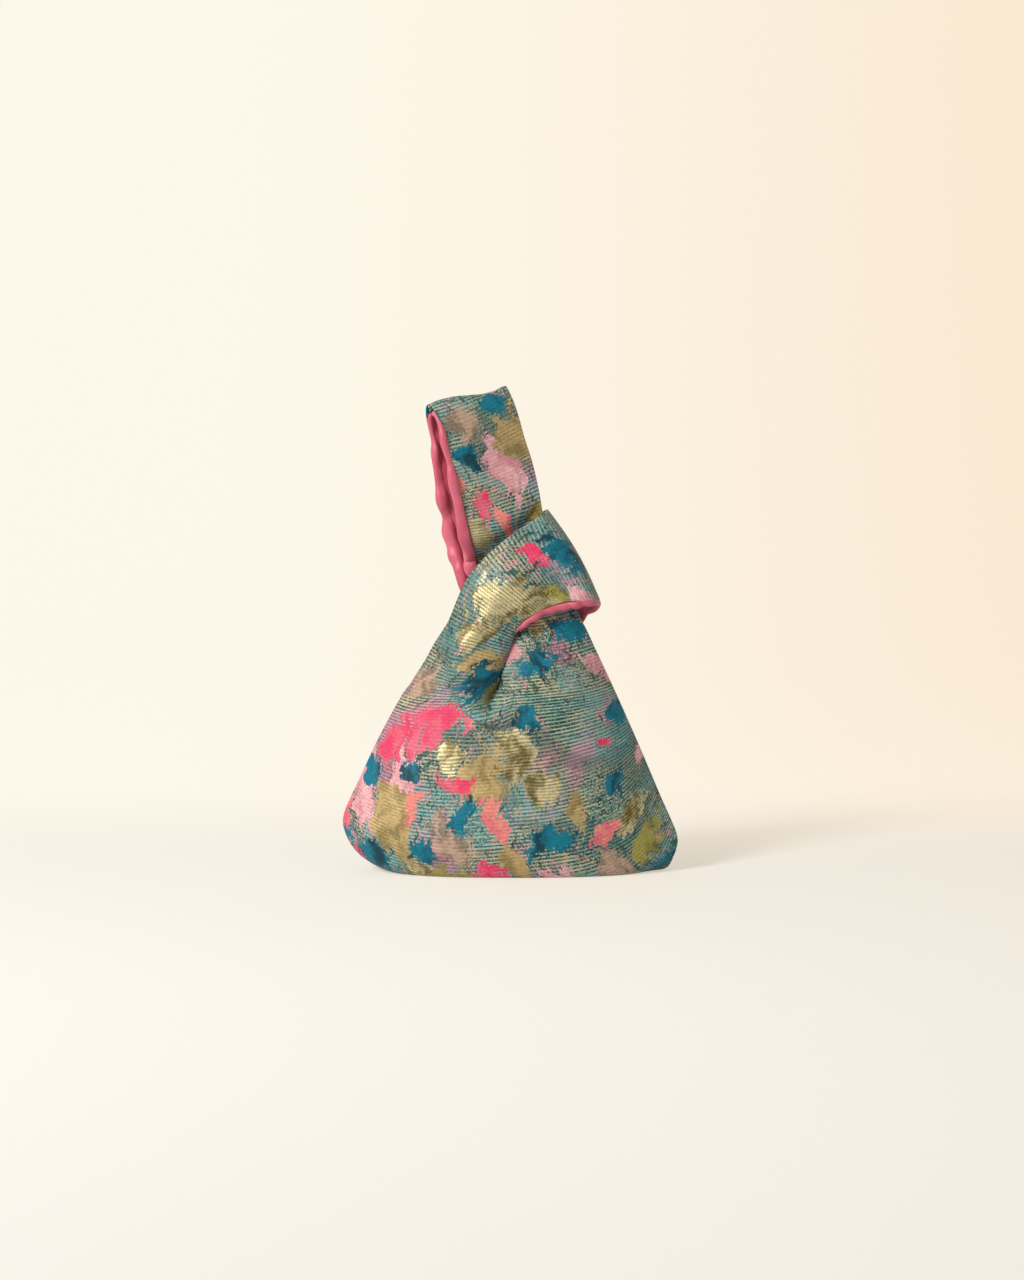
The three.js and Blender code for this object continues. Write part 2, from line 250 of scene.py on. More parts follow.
# Left seam of the body, carried on as the upper edge of the band, and the right seam.
upper_edge = [
    towards_tip(0, 0.03, NECK_HALF_GAP),
    towards_tip(0.1, 0.26, lerp(NECK_HALF_GAP, BAND_HALF_DEPTH, 0.7)),
    towards_tip(0.31, 0.54, BAND_HALF_DEPTH),
    towards_tip(0.61, 0.77, BAND_HALF_DEPTH),
]
left_edge = through([
    *side_seam(-1, LEFT_CORNER, NECK_LEFT, LEFT_BOW), *upper_edge, before_fold(tip, upper_edge[-1]),
])
right_edge = through([
    *side_seam(1, RIGHT_CORNER, NECK_RIGHT, RIGHT_BOW), point(NECK_RIGHT, CINCH_RIGHT_GAP, NECK_HEIGHT),
])

# Section of the body from the bottom seam out along the floor and up the belly to the notch.
belly = BODY_HALF_DEPTH - OUTSIDE
centre_line = through([
    point(0, 0, -FLOOR_PRESS),
    point(0, BASE_HALF_DEPTH * 0.5, -FLOOR_PRESS),
    point(0, BASE_HALF_DEPTH, -FLOOR_PRESS * 0.4),
    point(0, belly * 0.95, BELLY_HEIGHT * 0.35),
    point(0, belly, BELLY_HEIGHT),
    point(0, lerp(belly, NOTCH_HALF_DEPTH, 0.4), lerp(BELLY_HEIGHT, NOTCH_HEIGHT, 0.5)),
    point(0, NOTCH_HALF_DEPTH, NOTCH_HEIGHT),
])


def pressed(height):
    """A height over the floor once the floor has pressed back whatever would sink into it."""
    soft = FLOOR_PRESS / 2
    return np.where(np.abs(height) > soft, np.maximum(height, 0), (height + soft) ** 2 / (4 * soft))


# Sections of the strap from the cinch (0) to where the loop's top starts to round over (1).
loop_lean = math.radians(LOOP_LEAN)
loop_direction = point(-math.sin(loop_lean), 0, math.cos(loop_lean))
cinch = point((NECK_LEFT + NECK_RIGHT) / 2 + CINCH_RIGHT, 0, NECK_HEIGHT + CINCH_RISE)
row_tilt = math.radians(LOOP_TILT)
row_direction = point(math.cos(row_tilt), 0, math.sin(row_tilt))
strap_top_axis = cinch + loop_direction * LOOP_LENGTH


def strap_section(share):
    opened = smoothstep(share, *LEGS_PART)
    widened = smoothstep(abs(share - STRAP_WAIST), 0, WAIST_REACH)
    return {
        "axis": cinch + loop_direction * share * (LOOP_LENGTH - TOP_ROUND),
        "width": lerp(CINCH_WIDTH, STRAP_WIDTH, widened),
        "left": lerp(CINCH_LEFT_GAP, LOOP_SPREAD_LEFT, opened),
        "right": lerp(CINCH_RIGHT_GAP, LOOP_SPREAD_RIGHT, opened),
        "turn": math.radians(LOOP_TURN) * smoothstep(share, *LOOP_TURNS),
        "drift": LEG_DRIFT * (1 - smoothstep(share, *LEGS_LEVEL)),
    }


def strap_axes(turn):
    along = row_direction * math.cos(turn) + point(0, math.sin(turn), 0)
    across_legs = row_direction * -math.sin(turn) + point(0, math.cos(turn), 0)
    return along, across_legs


def strap_point(section, across, side, opened=1.0):
    """Points of a leg of the strap, from its left edge (0) to its right (1). Depth counts outwards."""
    across = np.asarray(across, float)[..., None]
    gap = np.maximum(lerp(section["left"], section["right"], across) * opened, SEAM_ROOM)
    drift = section["drift"] if side == BACK else 0
    along, across_legs = strap_axes(section["turn"])
    on_axis = section["axis"] + along * ((across - 0.5) * section["width"] - drift)
    return (on_axis + across_legs * side * gap) * [1, side, 1]


def columns(count):
    """Places from an edge (0) to the other edge (1), a little closer together near both."""
    share = np.linspace(0, 1, count + 1)
    return share - COLUMN_CROWDING * np.sin(2 * np.pi * share)


left_columns = columns(LEFT_COLUMNS)
right_columns = columns(RIGHT_COLUMNS)
left_notch = reaches(left_edge, NOTCH_HEIGHT)
right_notch = reaches(right_edge, NOTCH_HEIGHT)
notch_ends = [at(left_edge, left_notch)[0], at(right_edge, right_notch)[0]]
notch_share = (NOTCH_PLACE - notch_ends[0]) / (notch_ends[1] - notch_ends[0])
body_columns = np.concatenate([left_columns * notch_share, lerp(notch_share, 1, right_columns[1:])])


def body_rows():
    """Rows of points of the body, from the bottom seam up to the notch."""
    share = np.linspace(0, 1, BODY_ROWS + 1)
    up = share + ROW_CROWDING * np.sin(np.pi * share)
    left = at(left_edge, up * left_notch)[:, None]
    right = at(right_edge, up * right_notch)[:, None]
    centre = at(centre_line, up)[:, None]
    across = body_columns[None]
    x = lerp(left[..., 0], right[..., 0], across)
    seam = lerp(left[..., 2], right[..., 2], across)
    from_middle = np.abs(2 * across - 1)
    z = OUTSIDE + pressed(lerp(seam, centre[..., 2], 1 - from_middle ** FLOOR_SQUARE) - OUTSIDE)
    swell = (1 - from_middle ** SWELL_SQUARE) ** SWELL_ROUND
    parted = np.minimum(np.arange(BODY_ROWS + 1), PARTED_ROWS)[:, None]
    depth = np.maximum(centre[..., 1] * swell, SEAM_ROOM + ROW_PARTING * parted * swell)
    return np.stack([x, depth, z], axis=-1)


def strap_rows(side, start):
    """Rows of points of the long handle, from the notch up to the middle of the loop's top."""
    sections = [strap_section(share) for share in STRAP_SECTIONS]
    first, last = start[0], start[-1]
    left_leg, right_leg = ([strap_point(section, edge, side) for section in sections] for edge in (0, 1))
    foot = left_leg[0]
    left_line = through([first, lerp(first, foot, 0.3), lerp(first, foot, 0.65), *left_leg])
    seam_end = at(right_edge, reaches(right_edge, NOTCH_HEIGHT + SIDE_SEAM_STOP)) * [1, 0, 1]
    right_line = through([last, seam_end + point(0, SEAM_ROOM, 0), right_edge[1][-1], *right_leg])
    up = even_shares(STRAP_ROWS)
    left = at(left_line, up)[:, None]
    right = at(right_line, up)[:, None]
    rows = lerp(left, right, right_columns[None, :, None])
    settled = smoothstep(up, 0, STRAP_SETTLED)[:, None]
    flat = lerp(first[1], SEAM_ROOM, right_columns)
    rows[..., 1] += lerp(start[:, 1] - flat, STRAP_CROWN * hump(right_columns), settled)
    low = rows[..., 2] < NECK_HEIGHT
    rows[..., 1] = np.where(low, np.maximum(rows[..., 1], SEAM_ROOM), rows[..., 1])
    top = sections[-1]
    rounded = []
    for angle in math.pi / 2 * even_shares(TOP_ROWS):
        section = {**top, "axis": top["axis"] + loop_direction * TOP_ROUND * math.sin(angle)}
        row = strap_point(section, right_columns, side, math.cos(angle))
        row[:, 1] += STRAP_CROWN * hump(right_columns) * math.cos(angle)
        rounded.append(row)
    return np.concatenate([rows, np.array(rounded)])


def band_rows(side, start, lip, strap):
    """Rows of points of the short handle, from the notch over the strap to its fold."""
    lip_start = start[-1]
    strap_points = point_list(strap)

    def from_strap(place):
        return np.hypot(strap_points[:, 0] - place[0], strap_points[:, 2] - place[2])

    def cover(place):
        near = from_strap(place) < LIP_REACH
        over = strap_points[near, 1] + OUTSIDE + INSIDE + LIP_CLEARANCE
        return max(BAND_HALF_DEPTH, *over) if near.any() else BAND_HALF_DEPTH

    def on_strap(place):
        return strap_points[from_strap(place).argmin(), 1]

    lifts = LIP_LIFTS if side == FRONT else np.ones(len(lip) - 2)
    lip_curve = through([
        lip_start,
        *[point(p[0], lerp(on_strap(p), cover(p), lift), p[2]) for p, lift in zip(lip[1:-1], lifts)],
        before_fold(heel, lip[-2]),
    ])
    up = even_shares(BAND_ROWS)
    edge = at(left_edge, lerp(left_notch, 1, up))[:, None]
    end = at(lip_curve, up)[:, None]
    rows = lerp(edge, end, left_columns[None, :, None])
    settled = smoothstep(up, 0, BAND_SETTLED)[:, None]
    crown = BAND_CROWN * lerp(1, FLATTENED_CROWN, smoothstep(up, BAND_FLATTENS, 1)[:, None])
    flat = lerp(SEAM_ROOM, lip_start[1], left_columns)
    rows[..., 1] += lerp(start[:, 1] - flat, crown * hump(left_columns), settled)
    rows[..., 1] = np.maximum(rows[..., 1], SEAM_ROOM)
    if side == BACK:
        tucked = hump(np.clip((rows[..., 2] - BACK_TUCK_FROM) / BACK_TUCK_HEIGHT, 0, 1))
        rows[..., 0] += BACK_TUCK * tucked * (1 - left_columns)
    last = rows[-1]
    fold = lerp(tip, heel, left_columns[:, None]) + out_of_fold * FOLD_BOW * hump(left_columns)[:, None]
    folded = []
    for angle in math.pi / 2 * even_shares(FOLD_ROWS):
        row = lerp(last, fold, math.sin(angle))
        row[:, 1] = np.maximum(last[:, 1] * math.cos(angle), SEAM_ROOM)
        folded.append(row)
    return np.concatenate([rows, np.array(folded)])


def near_line(points, line):
    """Seen from the front: distance to a line, share along it, whether left of it, and the way right."""
    delta = points[:, None, [0, 2]] - line[None, :, [0, 2]]
    distance = np.hypot(delta[..., 0], delta[..., 1])
    nearest = distance.argmin(axis=1)
    tangent = np.gradient(line[:, [0, 2]], axis=0)[nearest]
    reach = delta[np.arange(len(points)), nearest]
    turn = tangent[:, 0] * reach[:, 1] - tangent[:, 1] * reach[:, 0]
    right = unit(tangent)[:, [1, 0]] * [1, -1]
    return distance.min(axis=1), nearest / (len(line) - 1), turn > 0, right


def flat_line(places):
    return at(through([point(x, 0, z) for x, z in places]), np.linspace(0, 1, LINE_STEPS))


# The fold of the front: a crest that hooks under, and the valley where the lip is tucked in.
crest_line = flat_line([(-4, 155), (-14, 147), (-25, 136), (-30, 123.5), (-28, 111.5), (-22.5, 102),
                        (-14, 95.5), (-4, 92)])
valley_line = flat_line([(-10, 106.5), (-8.2, 112), (-5.6, 118.5), (-1.5, 130.6), (1.5, 139), (4, 145)])
CREST_HEIGHT = ([0, 0.2, 0.45, 0.7, 0.86, 1], [0, 3, 8.5, 10.5, 9.5, 4])
CREST_OUTSIDE = ([0, 0.35, 0.55, 0.75, 1], [9, 6.5, 3.4, 2.6, 2.4])
CREST_INSIDE = 22
CREST_FADES = (-4, 3)
CREST_OVERHANG = 0.45
VALLEY_DEPTH = ([0, 0.2, 0.6, 1], [10, 7.5, 3, 0.5])
VALLEY_WIDTH = 5.5
TUCK_DEPTH = ([0, 0.6, 0.9, 1], [3, 3, 1.5, 0])
TUCK_WIDTH = 2.3

# The strap passes under the tucked lip, deeper behind it, and comes up again between two heights.
UNDER_BAND = 2.6
BEHIND_LIP = 4
BEHIND_LIP_REACH = 8
DIP_STARTS = (NOTCH_HEIGHT - 2, NOTCH_HEIGHT + 6)
DIP_ENDS = (140, 165)


def valley_dive(distance, share):
    """How far the cloth dives at the valley, with the narrow channel where the lip is tucked in."""
    wide = np.interp(share, *VALLEY_DEPTH) * np.exp(-(distance / VALLEY_WIDTH) ** 2)
    return wide + np.interp(share, *TUCK_DEPTH) * np.exp(-(distance / TUCK_WIDTH) ** 2)


def fold_front(body, band, strap):
    """Shapes the fold of the front in the rows of a panel."""
    for rows in (body, band):
        points = point_list(rows)
        distance, share, inside, outwards = near_line(points, crest_line)
        outside = np.exp(-(distance / np.interp(share, *CREST_OUTSIDE)) ** 2)
        height = np.interp(share, *CREST_HEIGHT) * np.where(
            inside, 1 - smoothstep(distance, 0, CREST_INSIDE), outside)
        height *= 1 - smoothstep(points[:, 0], *CREST_FADES)
        valley, share, _, _ = near_line(points, valley_line)
        points[:, 1] += height - valley_dive(valley, share)
        points[:, [0, 2]] += CREST_OVERHANG * height[:, None] * outwards
    points = point_list(strap)
    valley, share, under, _ = near_line(points, valley_line)
    deepest = valley_dive(0, share) + UNDER_BAND
    beside = valley_dive(valley, share) + UNDER_BAND * np.exp(-(valley / VALLEY_WIDTH) ** 2)
    dip = np.where(under, deepest + BEHIND_LIP * smoothstep(valley, 0, BEHIND_LIP_REACH), beside)
    dip *= 1 - smoothstep(points[:, 2], *DIP_ENDS)
    start = smoothstep(points[:, 2], *DIP_STARTS)
    points[:, 1] -= lerp(valley_dive(valley, share), dip, start)
    low = points[:, 2] < NECK_HEIGHT
    points[low, 1] = np.maximum(points[low, 1], SEAM_ROOM)


# Waves in a ripple, and how their lengths vary.
RIPPLE_WAVES = 7
RIPPLE_SPREAD = (0.75, 1.3)


def ripple(points, wavelength, seed):
    """A soft irregular wave over points, about -1 to 1, the same at each run."""
    chance = np.random.default_rng(seed)
    total = np.zeros(len(points))
    for _ in range(RIPPLE_WAVES):
        direction = chance.normal(size=3)
        length = wavelength * chance.uniform(*RIPPLE_SPREAD)
        direction *= 2 * np.pi / length / np.linalg.norm(direction)
        total += np.sin(points @ direction + chance.uniform(0, 2 * np.pi))
    return total / math.sqrt(RIPPLE_WAVES)


# The loop's top edge: it domes on the left and ends in an ear on the right.
TOP_DOME = ([0, 0.15, 0.35, 0.7, 0.88, 1], [1.5, 3, 3.2, 1, 1.6, 3.4])
TOP_DOME_ROWS = 14


def near_top(strap):
    """0 to 1 over the last rows of the strap, up to the loop's top edge."""
    last = len(strap) - 1
    return smoothstep(np.arange(len(strap)), last + 1 - TOP_DOME_ROWS, last)[:, None, None]


def dome_top(strap):
    rise = np.interp(right_columns, *TOP_DOME)
    strap += near_top(strap) * rise[None, :, None] * loop_direction


# Lining that rolls out past the brocade's edge: its section for a width of 1, outwards and up.
# The one behind the loop's opening swells into it first.
ROLL_SECTION = through([
    (0, 0, 0), (0.45, 0, -0.35), (0.85, 0, 0.1), (1, 0, 0.9),
    (0.88, 0, 1.8), (0.5, 0, 2.1), (0.06, 0, 1.3),
])
SWOLLEN_SECTION = through([
    (0, 0, 0), (0.07, 0, -1), (0.2, 0, -2.3), (0.5, 0, -3), (0.84, 0, -2.2),
    (1, 0, -0.6), (1, 0, 0.8), (0.86, 0, 1.9), (0.6, 0, 2.2), (0.4, 0, 1.4),
])
ROLL_COLUMNS = 10
# A narrower roll than this is flatter.
FULL_ROLL = 2


def rolled(edge, before, normals, curve, width, puff):
    """Columns of lining that roll out from an edge and back over it."""
    section = at(curve, np.linspace(0, 1, ROLL_COLUMNS + 1)[1:])
    out = unit(edge - before)
    reach = width[:, None, None] * section[None, :, 0, None] * out[:, None]
    puffed = (puff * np.minimum(1, width / FULL_ROLL))[:, None, None]
    return edge[:, None] + reach + puffed * section[None, :, 2, None] * normals[:, None]


def flat_rows(rows, first_u, first_v, own_rises=0):
    """Places of rows on the flat cloth. Rows rise evenly, the last ones by each column's own rise."""
    across = np.cumsum(step_lengths(rows, 1), axis=1)
    across = np.concatenate([np.zeros((len(rows), 1)), across], axis=1)
    middle = rows.shape[1] // 2
    u = across - across[:, middle:middle + 1] + first_u
    rises = step_lengths(rows, 0)
    even = len(rises) - own_rises
    rises[:even] = rises[:even].mean(axis=1, keepdims=True)
    v = first_v + np.concatenate([np.zeros((1, rows.shape[1])), np.cumsum(rises, axis=0)])
    return np.stack([u, v], axis=-1)


def grid_quads(grid):
    corners = [grid[:-1, :-1], grid[:-1, 1:], grid[1:, 1:], grid[1:, :-1]]
    return np.stack(corners, axis=-1).reshape(-1, 4)


# The strap draws back where it goes down behind the upper edge of the band.
BAND_EDGE_DIVE = 5.5
BAND_EDGE_REACH = 6.5
BAND_EDGE_FADES = (8, 20)
band_edge = at(left_edge, np.linspace(left_notch, 1, LINE_STEPS))


def dive_under_band(strap):
    points = point_list(strap)
    distance, _, above, _ = near_line(points, band_edge)
    share = np.where(above, np.exp(-(distance / BAND_EDGE_REACH) ** 2),
                     1 - smoothstep(distance, *BAND_EDGE_FADES))
    dived = points[:, 1] - BAND_EDGE_DIVE * share
    points[:, 1] = np.maximum(dived, np.minimum(points[:, 1], SEAM_ROOM))


def facing(sheet):
    return sheet["quads"] if sheet["side"] == FRONT else sheet["quads"][:, ::-1]


def sheet_normals(points, quads):
    a, b, c, d = (points[quads[:, k]] for k in range(4))
    faces = np.cross(c - a, d - b)
    normals = np.zeros_like(points)
    for k in range(4):
        np.add.at(normals, quads[:, k], faces)
    return unit(normals)


# Soft waves of the filled cloth: how far they reach, their length, and a seed.
WAVES = ((1.0, 62, 11), (0.5, 27, 12), (0.22, 12, 13))
# Depths and heights over which they grow, last rows over which they end, and their share on the loop.
WAVES_ROOM = (2, 16)
WAVES_START = (2, 30)
WAVES_CALM_ROWS = 6
WAVES_ON_LOOP = 0.55
LOOP_WAVES_RISE = 20


def wrinkle(sheet):
    """Adds the soft waves to a sheet."""
    points, side = sheet["points"], sheet["side"]
    normals = sheet_normals(points, facing(sheet))
    _, band, strap = sheet["grids"]
    depth, height = side * points[:, 1], points[:, 2]
    room = np.clip((depth - WAVES_ROOM[0]) / (WAVES_ROOM[1] - WAVES_ROOM[0]), 0, 1)
    on_loop = smoothstep(height, NECK_HEIGHT, cinch[2] + LOOP_WAVES_RISE)
    loose = lerp(room, WAVES_ON_LOOP, on_loop) * smoothstep(height, *WAVES_START)
    loose[band] = room[band]
    for rows in (band[-FOLD_ROWS - WAVES_CALM_ROWS:], strap[-TOP_ROWS - WAVES_CALM_ROWS:]):
        loose[rows] *= 1 - smoothstep(np.arange(len(rows)), 0, WAVES_CALM_ROWS)[:, None]
    move = sum(reach * ripple(points, length, seed + side) for reach, length, seed in WAVES)
    points += normals * (move * loose)[:, None]
    points[:, 2] = np.maximum(points[:, 2], OUTSIDE)


# The back is cut from the cloth half a turn round from the front.
TURNED_ROUND = (10, 335)


def panel_sheet(side, lip):
    """One panel as a sheet: points, flat-pattern places, quads that face out, and its grids."""
    body = body_rows()
    strap = strap_rows(side, body[-1, LEFT_COLUMNS:])
    dive_under_band(strap)
    band = band_rows(side, body[-1, :LEFT_COLUMNS + 1], lip, strap)
    if side == FRONT:
        fold_front(body, band, strap)
    dome_top(strap)
    left_part, right_part = slice(None, LEFT_COLUMNS + 1), slice(LEFT_COLUMNS, None)
    body_flat = flat_rows(body, 0, 0)
    notch_flat = body_flat[-1]
    flats = [body_flat]
    for rows, part, own_rises in ((band, left_part, 0), (strap, right_part, TOP_DOME_ROWS)):
        middle = notch_flat[part][(rows.shape[1] - 1) // 2, 0]
        from_notch = np.concatenate([body[-1:, part], rows])
        flats.append(flat_rows(from_notch, middle, notch_flat[0, 1], own_rises)[1:])
    blocks = [body, band, strap]
    points = np.concatenate([point_list(block) for block in blocks])
    flat = np.concatenate([block.reshape(-1, 2) for block in flats])
    starts = np.cumsum([0] + [block.shape[0] * block.shape[1] for block in blocks])
    numbers = [start + np.arange(block.shape[0] * block.shape[1]).reshape(block.shape[:2])
               for start, block in zip(starts, blocks)]
    notch_row = numbers[0][-1:]
    grids = [numbers[0], np.vstack([notch_row[:, left_part], numbers[1]]),
             np.vstack([notch_row[:, right_part], numbers[2]])]
    points[:, 1] *= side
    if side == BACK:
        flat = np.array(TURNED_ROUND) - flat
    quads = np.concatenate([grid_quads(grid) for grid in grids])
    sheet = {"points": points, "flat": flat, "quads": quads, "grids": grids, "side": side}
    wrinkle(sheet)
    return sheet


def extend(sheet, edge, added, place):
    """Adds columns or rows of points to a sheet, outwards from one of its edges."""
    points = sheet["points"]
    chain = np.concatenate([points[edge][:, None], added], axis=1)
    runs = np.cumsum(step_lengths(chain, 1), axis=1)[..., None]
    away = {"left": (-1, 0), "right": (1, 0), "above": (0, 1), "below": (0, -1)}[place]
    flat = sheet["flat"][edge][:, None] - sheet["side"] * runs * away
    grid = np.column_stack([edge, len(points) + np.arange(runs.size).reshape(runs.shape[:2])])
    turned = {"left": grid[:, ::-1], "right": grid, "above": grid.T, "below": grid.T[::-1]}[place]
    sheet["points"] = np.concatenate([points, point_list(added)])
    sheet["flat"] = np.concatenate([sheet["flat"], flat.reshape(-1, 2)])
    sheet["quads"] = np.concatenate([sheet["quads"], grid_quads(turned)])


# The seams' allowances turn in, lie face to face between the panels and are pressed towards the back.
ALLOWANCE = np.array([1.6, 4.0])
ALLOWANCE_PRESSED = np.array([0, 0.8])
# They run out at the top of a side seam. The right one goes on up into the fold of the band.
SEAM_TOPS = {"left": NOTCH_HEIGHT + SIDE_SEAM_STOP + 1, "right": heel[2] + 6}
ALLOWANCE_TAPER = 8
TAPERED_ALLOWANCE = 0.05

# Lines of points that the lining draws in along an edge. The next one stays.
DRAWN_LINES = 3


def side_seams(sheet):
    """For each side seam its place, and lines of points along what is sewn, from the edge inwards."""
    body, band, strap = sheet["grids"]
    left = np.hstack([grid.T[:DRAWN_LINES + 1] for grid in (body, band[1:])])
    right = np.hstack([grid.T[::-1][:DRAWN_LINES + 1] for grid in (body, strap[1:])])
    for place, lines in (("left", left), ("right", right)):
        yield place, lines[:, sheet["points"][lines[0], 2] < SEAM_TOPS[place]]


def turn_in_seams(sheet):
    """Adds the turned-in allowances of the seams to a sheet."""
    points, side = sheet["points"], sheet["side"]
    body, band, strap = sheet["grids"]
    middle = point(0, side, 0)
    across_legs = strap_axes(math.radians(LOOP_TURN))[1] * side
    strips = []
    for place, (edge, beside, *_) in side_seams(sheet):
        inward = unit((points[beside] - points[edge]) * [1, 0, 1])
        tapered = smoothstep(points[edge, 2], SEAM_TOPS[place] - ALLOWANCE_TAPER, SEAM_TOPS[place])
        strips.append((edge, inward * lerp(1, TAPERED_ALLOWANCE, tapered)[:, None], middle, place))
    for edge, inward, across, place in (
        (body[0], point(0, 0, 1), middle, "below"),
        (band[-1], -out_of_fold, middle, "above"),
        (strap[-1], -loop_direction, across_legs, "above"),
    ):
        strips.append((edge, np.tile(inward, (len(edge), 1)), across, place))
    for edge, inward, across, place in strips:
        added = points[edge][:, None] + inward[:, None] * ALLOWANCE[None, :, None]
        origin = strap_top_axis if across is across_legs else np.zeros(3)
        plane = (added - origin) @ across
        pressed_back = side * ALLOWANCE_PRESSED * np.linalg.norm(inward, axis=1, keepdims=True)
        added += (SEAM_ROOM + pressed_back - plane)[..., None] * across
        extend(sheet, edge, added, place)


# Widths of the lining's rolls: on the legs by the share of the loop's height, on the lips by place.
LEG_WIDTHS = {
    FRONT: ([-0.3, -0.2, 0, 0.5, 0.8, 0.95, 1], [0.2, 1.5, 6, 4.2, 2.4, 0.7, 0.2]),
    BACK: ([-0.3, -0.2, 0, 0.3, 0.5, 0.62, 0.75, 1], [0.2, 2.4, 6.4, 6.4, 5.6, 4, 1.2, 0.2]),
}
LIP_WIDTHS = {
    FRONT: ([2, 9, 18, 34, 46, 50, 52], [0.1, 2.4, 3.8, 3.8, 2.4, 0.9, 0.3]),
    BACK: ([2, 10, 30, 44, 50, 52], [0.1, 2, 4, 4.5, 2, 0.3]),
}
# Their section, length of the puckers, how uneven those make the width, puff, and seed.
LEG_ROLLS = {FRONT: (ROLL_SECTION, 24, 0.22, 1, 29), BACK: (SWOLLEN_SECTION, 14, 0.16, 1, 31)}
LIP_ROLLS = {FRONT: (ROLL_SECTION, 10, 0.35, 0.8, 34), BACK: (ROLL_SECTION, 10, 0.35, 0.8, 36)}
UNEVEN_PUFF = 0.5
LIP_ROLL_START = 2
LINING_DROP = 5
DRAWN_IN = 0.6
STRAP_ROLL_START = 0.25
# Shares of the loop's height over which the lining of each leg draws in.
DRAWN_FROM = {FRONT: (0.8, 0.97), BACK: (-0.3, 0)}


def draw_in(points, lines, amount=1.0):
    """Moves an edge of the lining in from the brocade's edge, with the lines of points beside it."""
    start, stop = points[lines[0]], points[lines[DRAWN_LINES]]
    for k in range(DRAWN_LINES):
        share = lerp(k / DRAWN_LINES, 1, DRAWN_IN)
        target = lerp(start, stop, share)
        points[lines[k]] = lerp(points[lines[k]], target, np.reshape(amount, (-1, 1)))


def draw_in_seams(sheet):
    """Keeps the lining clear of the sewn edges and of the lip below its roll."""
    points = sheet["points"]
    body, band, _ = sheet["grids"]
    for _, lines in side_seams(sheet):
        draw_in(points, lines)
    draw_in(points, body)
    draw_in(points, band[::-1])
    tucked = band[1:][points[band[1:, -1], 0] < LIP_ROLL_START]
    draw_in(points, tucked.T[::-1])


def roll_edges(sheet):
    """Settles the lining of the handles and rolls its edge out beside the loop and under the lip."""
    side, points = sheet["side"], sheet["points"]
    _, band, strap = sheet["grids"]
    leg = strap[int(STRAP_ROLL_START * len(strap)):]
    lip = band[points[band[:, -1], 0] > LIP_ROLL_START]
    share = (points[leg[:, 0], 2] - cinch[2]) / (LOOP_LENGTH * math.cos(loop_lean))
    points[strap] -= LINING_DROP * near_top(strap) * loop_direction
    draw_in(points, leg.T, smoothstep(share, *DRAWN_FROM[side]))
    normals = sheet_normals(points, facing(sheet))
    leg_width = np.interp(share, *LEG_WIDTHS[side])
    lip_width = np.interp(points[lip[:, -1], 0], *LIP_WIDTHS[side])
    for edge, before, width, style, place in (
        (leg[:, 0], leg[:, 1], leg_width, LEG_ROLLS[side], "left"),
        (lip[:, -1], lip[:, -2], lip_width, LIP_ROLLS[side], "right"),
    ):
        curve, length, uneven, puff, seed = style
        pucker = ripple(points[edge], length, seed)
        width = width * (1 + uneven * pucker)
        puffed = puff + UNEVEN_PUFF * pucker
        added = rolled(points[edge], points[before], normals[edge], curve, width, puffed)
        extend(sheet, edge, added, place)


def new_object(name, data):
    made = bpy.data.objects.new(name, data)
    bpy.context.scene.collection.objects.link(made)
    return made


def closed_cloth(name, sheet, inner, outer):
    """A sheet given its thickness, closed along its rim and smoothed once."""
    points, quads = sheet["points"], facing(sheet)
    normals = sheet_normals(points, quads)
    count = len(points)
    vertices = np.concatenate([points + normals * outer, points + normals * inner])
    edges = np.concatenate([quads[:, [k, (k + 1) % 4]] for k in range(4)])
    known = {tuple(edge) for edge in edges}
    rim = np.array([edge for edge in edges if (edge[1], edge[0]) not in known])
    rim_quads = np.column_stack([rim[:, 1], rim[:, 0], rim[:, 0] + count, rim[:, 1] + count])
    faces = np.concatenate([quads, quads[:, ::-1] + count, rim_quads])
    mesh = bpy.data.meshes.new(name)
    mesh.from_pydata(vertices * MM, [], faces.tolist())
    flat = np.concatenate([sheet["flat"], sheet["flat"]]) * MM
    layer = mesh.uv_layers.new(name="cloth")
    layer.data.foreach_set("uv", flat[faces.ravel()].ravel())
    mesh.validate()
    piece = new_object(name, mesh)
    smooth = piece.modifiers.new("smooth", "SUBSURF")
    smooth.levels = 1
    smooth.render_levels = 1
    bpy.context.view_layer.update()
    evaluated = piece.evaluated_get(bpy.context.evaluated_depsgraph_get())
    piece.data = bpy.data.meshes.new_from_object(evaluated)
    piece.modifiers.clear()
    piece.data.shade_smooth()
    return piece


# The lips of the band from the notch (0) to the heel (1), across and up.
FRONT_LIP = [
    (0, 0), (0.07, 0.2), (0.14, 0.47), (0.22, 0.72), (0.37, 0.87), (0.58, 0.97), (0.78, 1.02), (1, 1),
]
BACK_LIP = [(0, 0), (0.08, 0.15), (0.22, 0.36), (0.47, 0.58), (0.72, 0.75), (0.88, 0.87), (1, 1)]


def towards_heel(share):
    across, up = share
    return point(lerp(NOTCH_PLACE, heel[0], across), 0, lerp(NOTCH_HEIGHT, heel[2], up))


def linear(red, green, blue):
    """A colour written as it is seen, from 0 to 255, as light."""
    seen = np.array([red, green, blue]) / 255
    light = np.where(seen > 0.04045, ((seen + 0.055) / 1.055) ** 2.4, seen / 12.92)
    return (*light, 1.0)


SHADER = "Principled BSDF"
# Noise of another seed is taken this far away.
SEED_STEPS = (13.7, 7.3, 3.1)


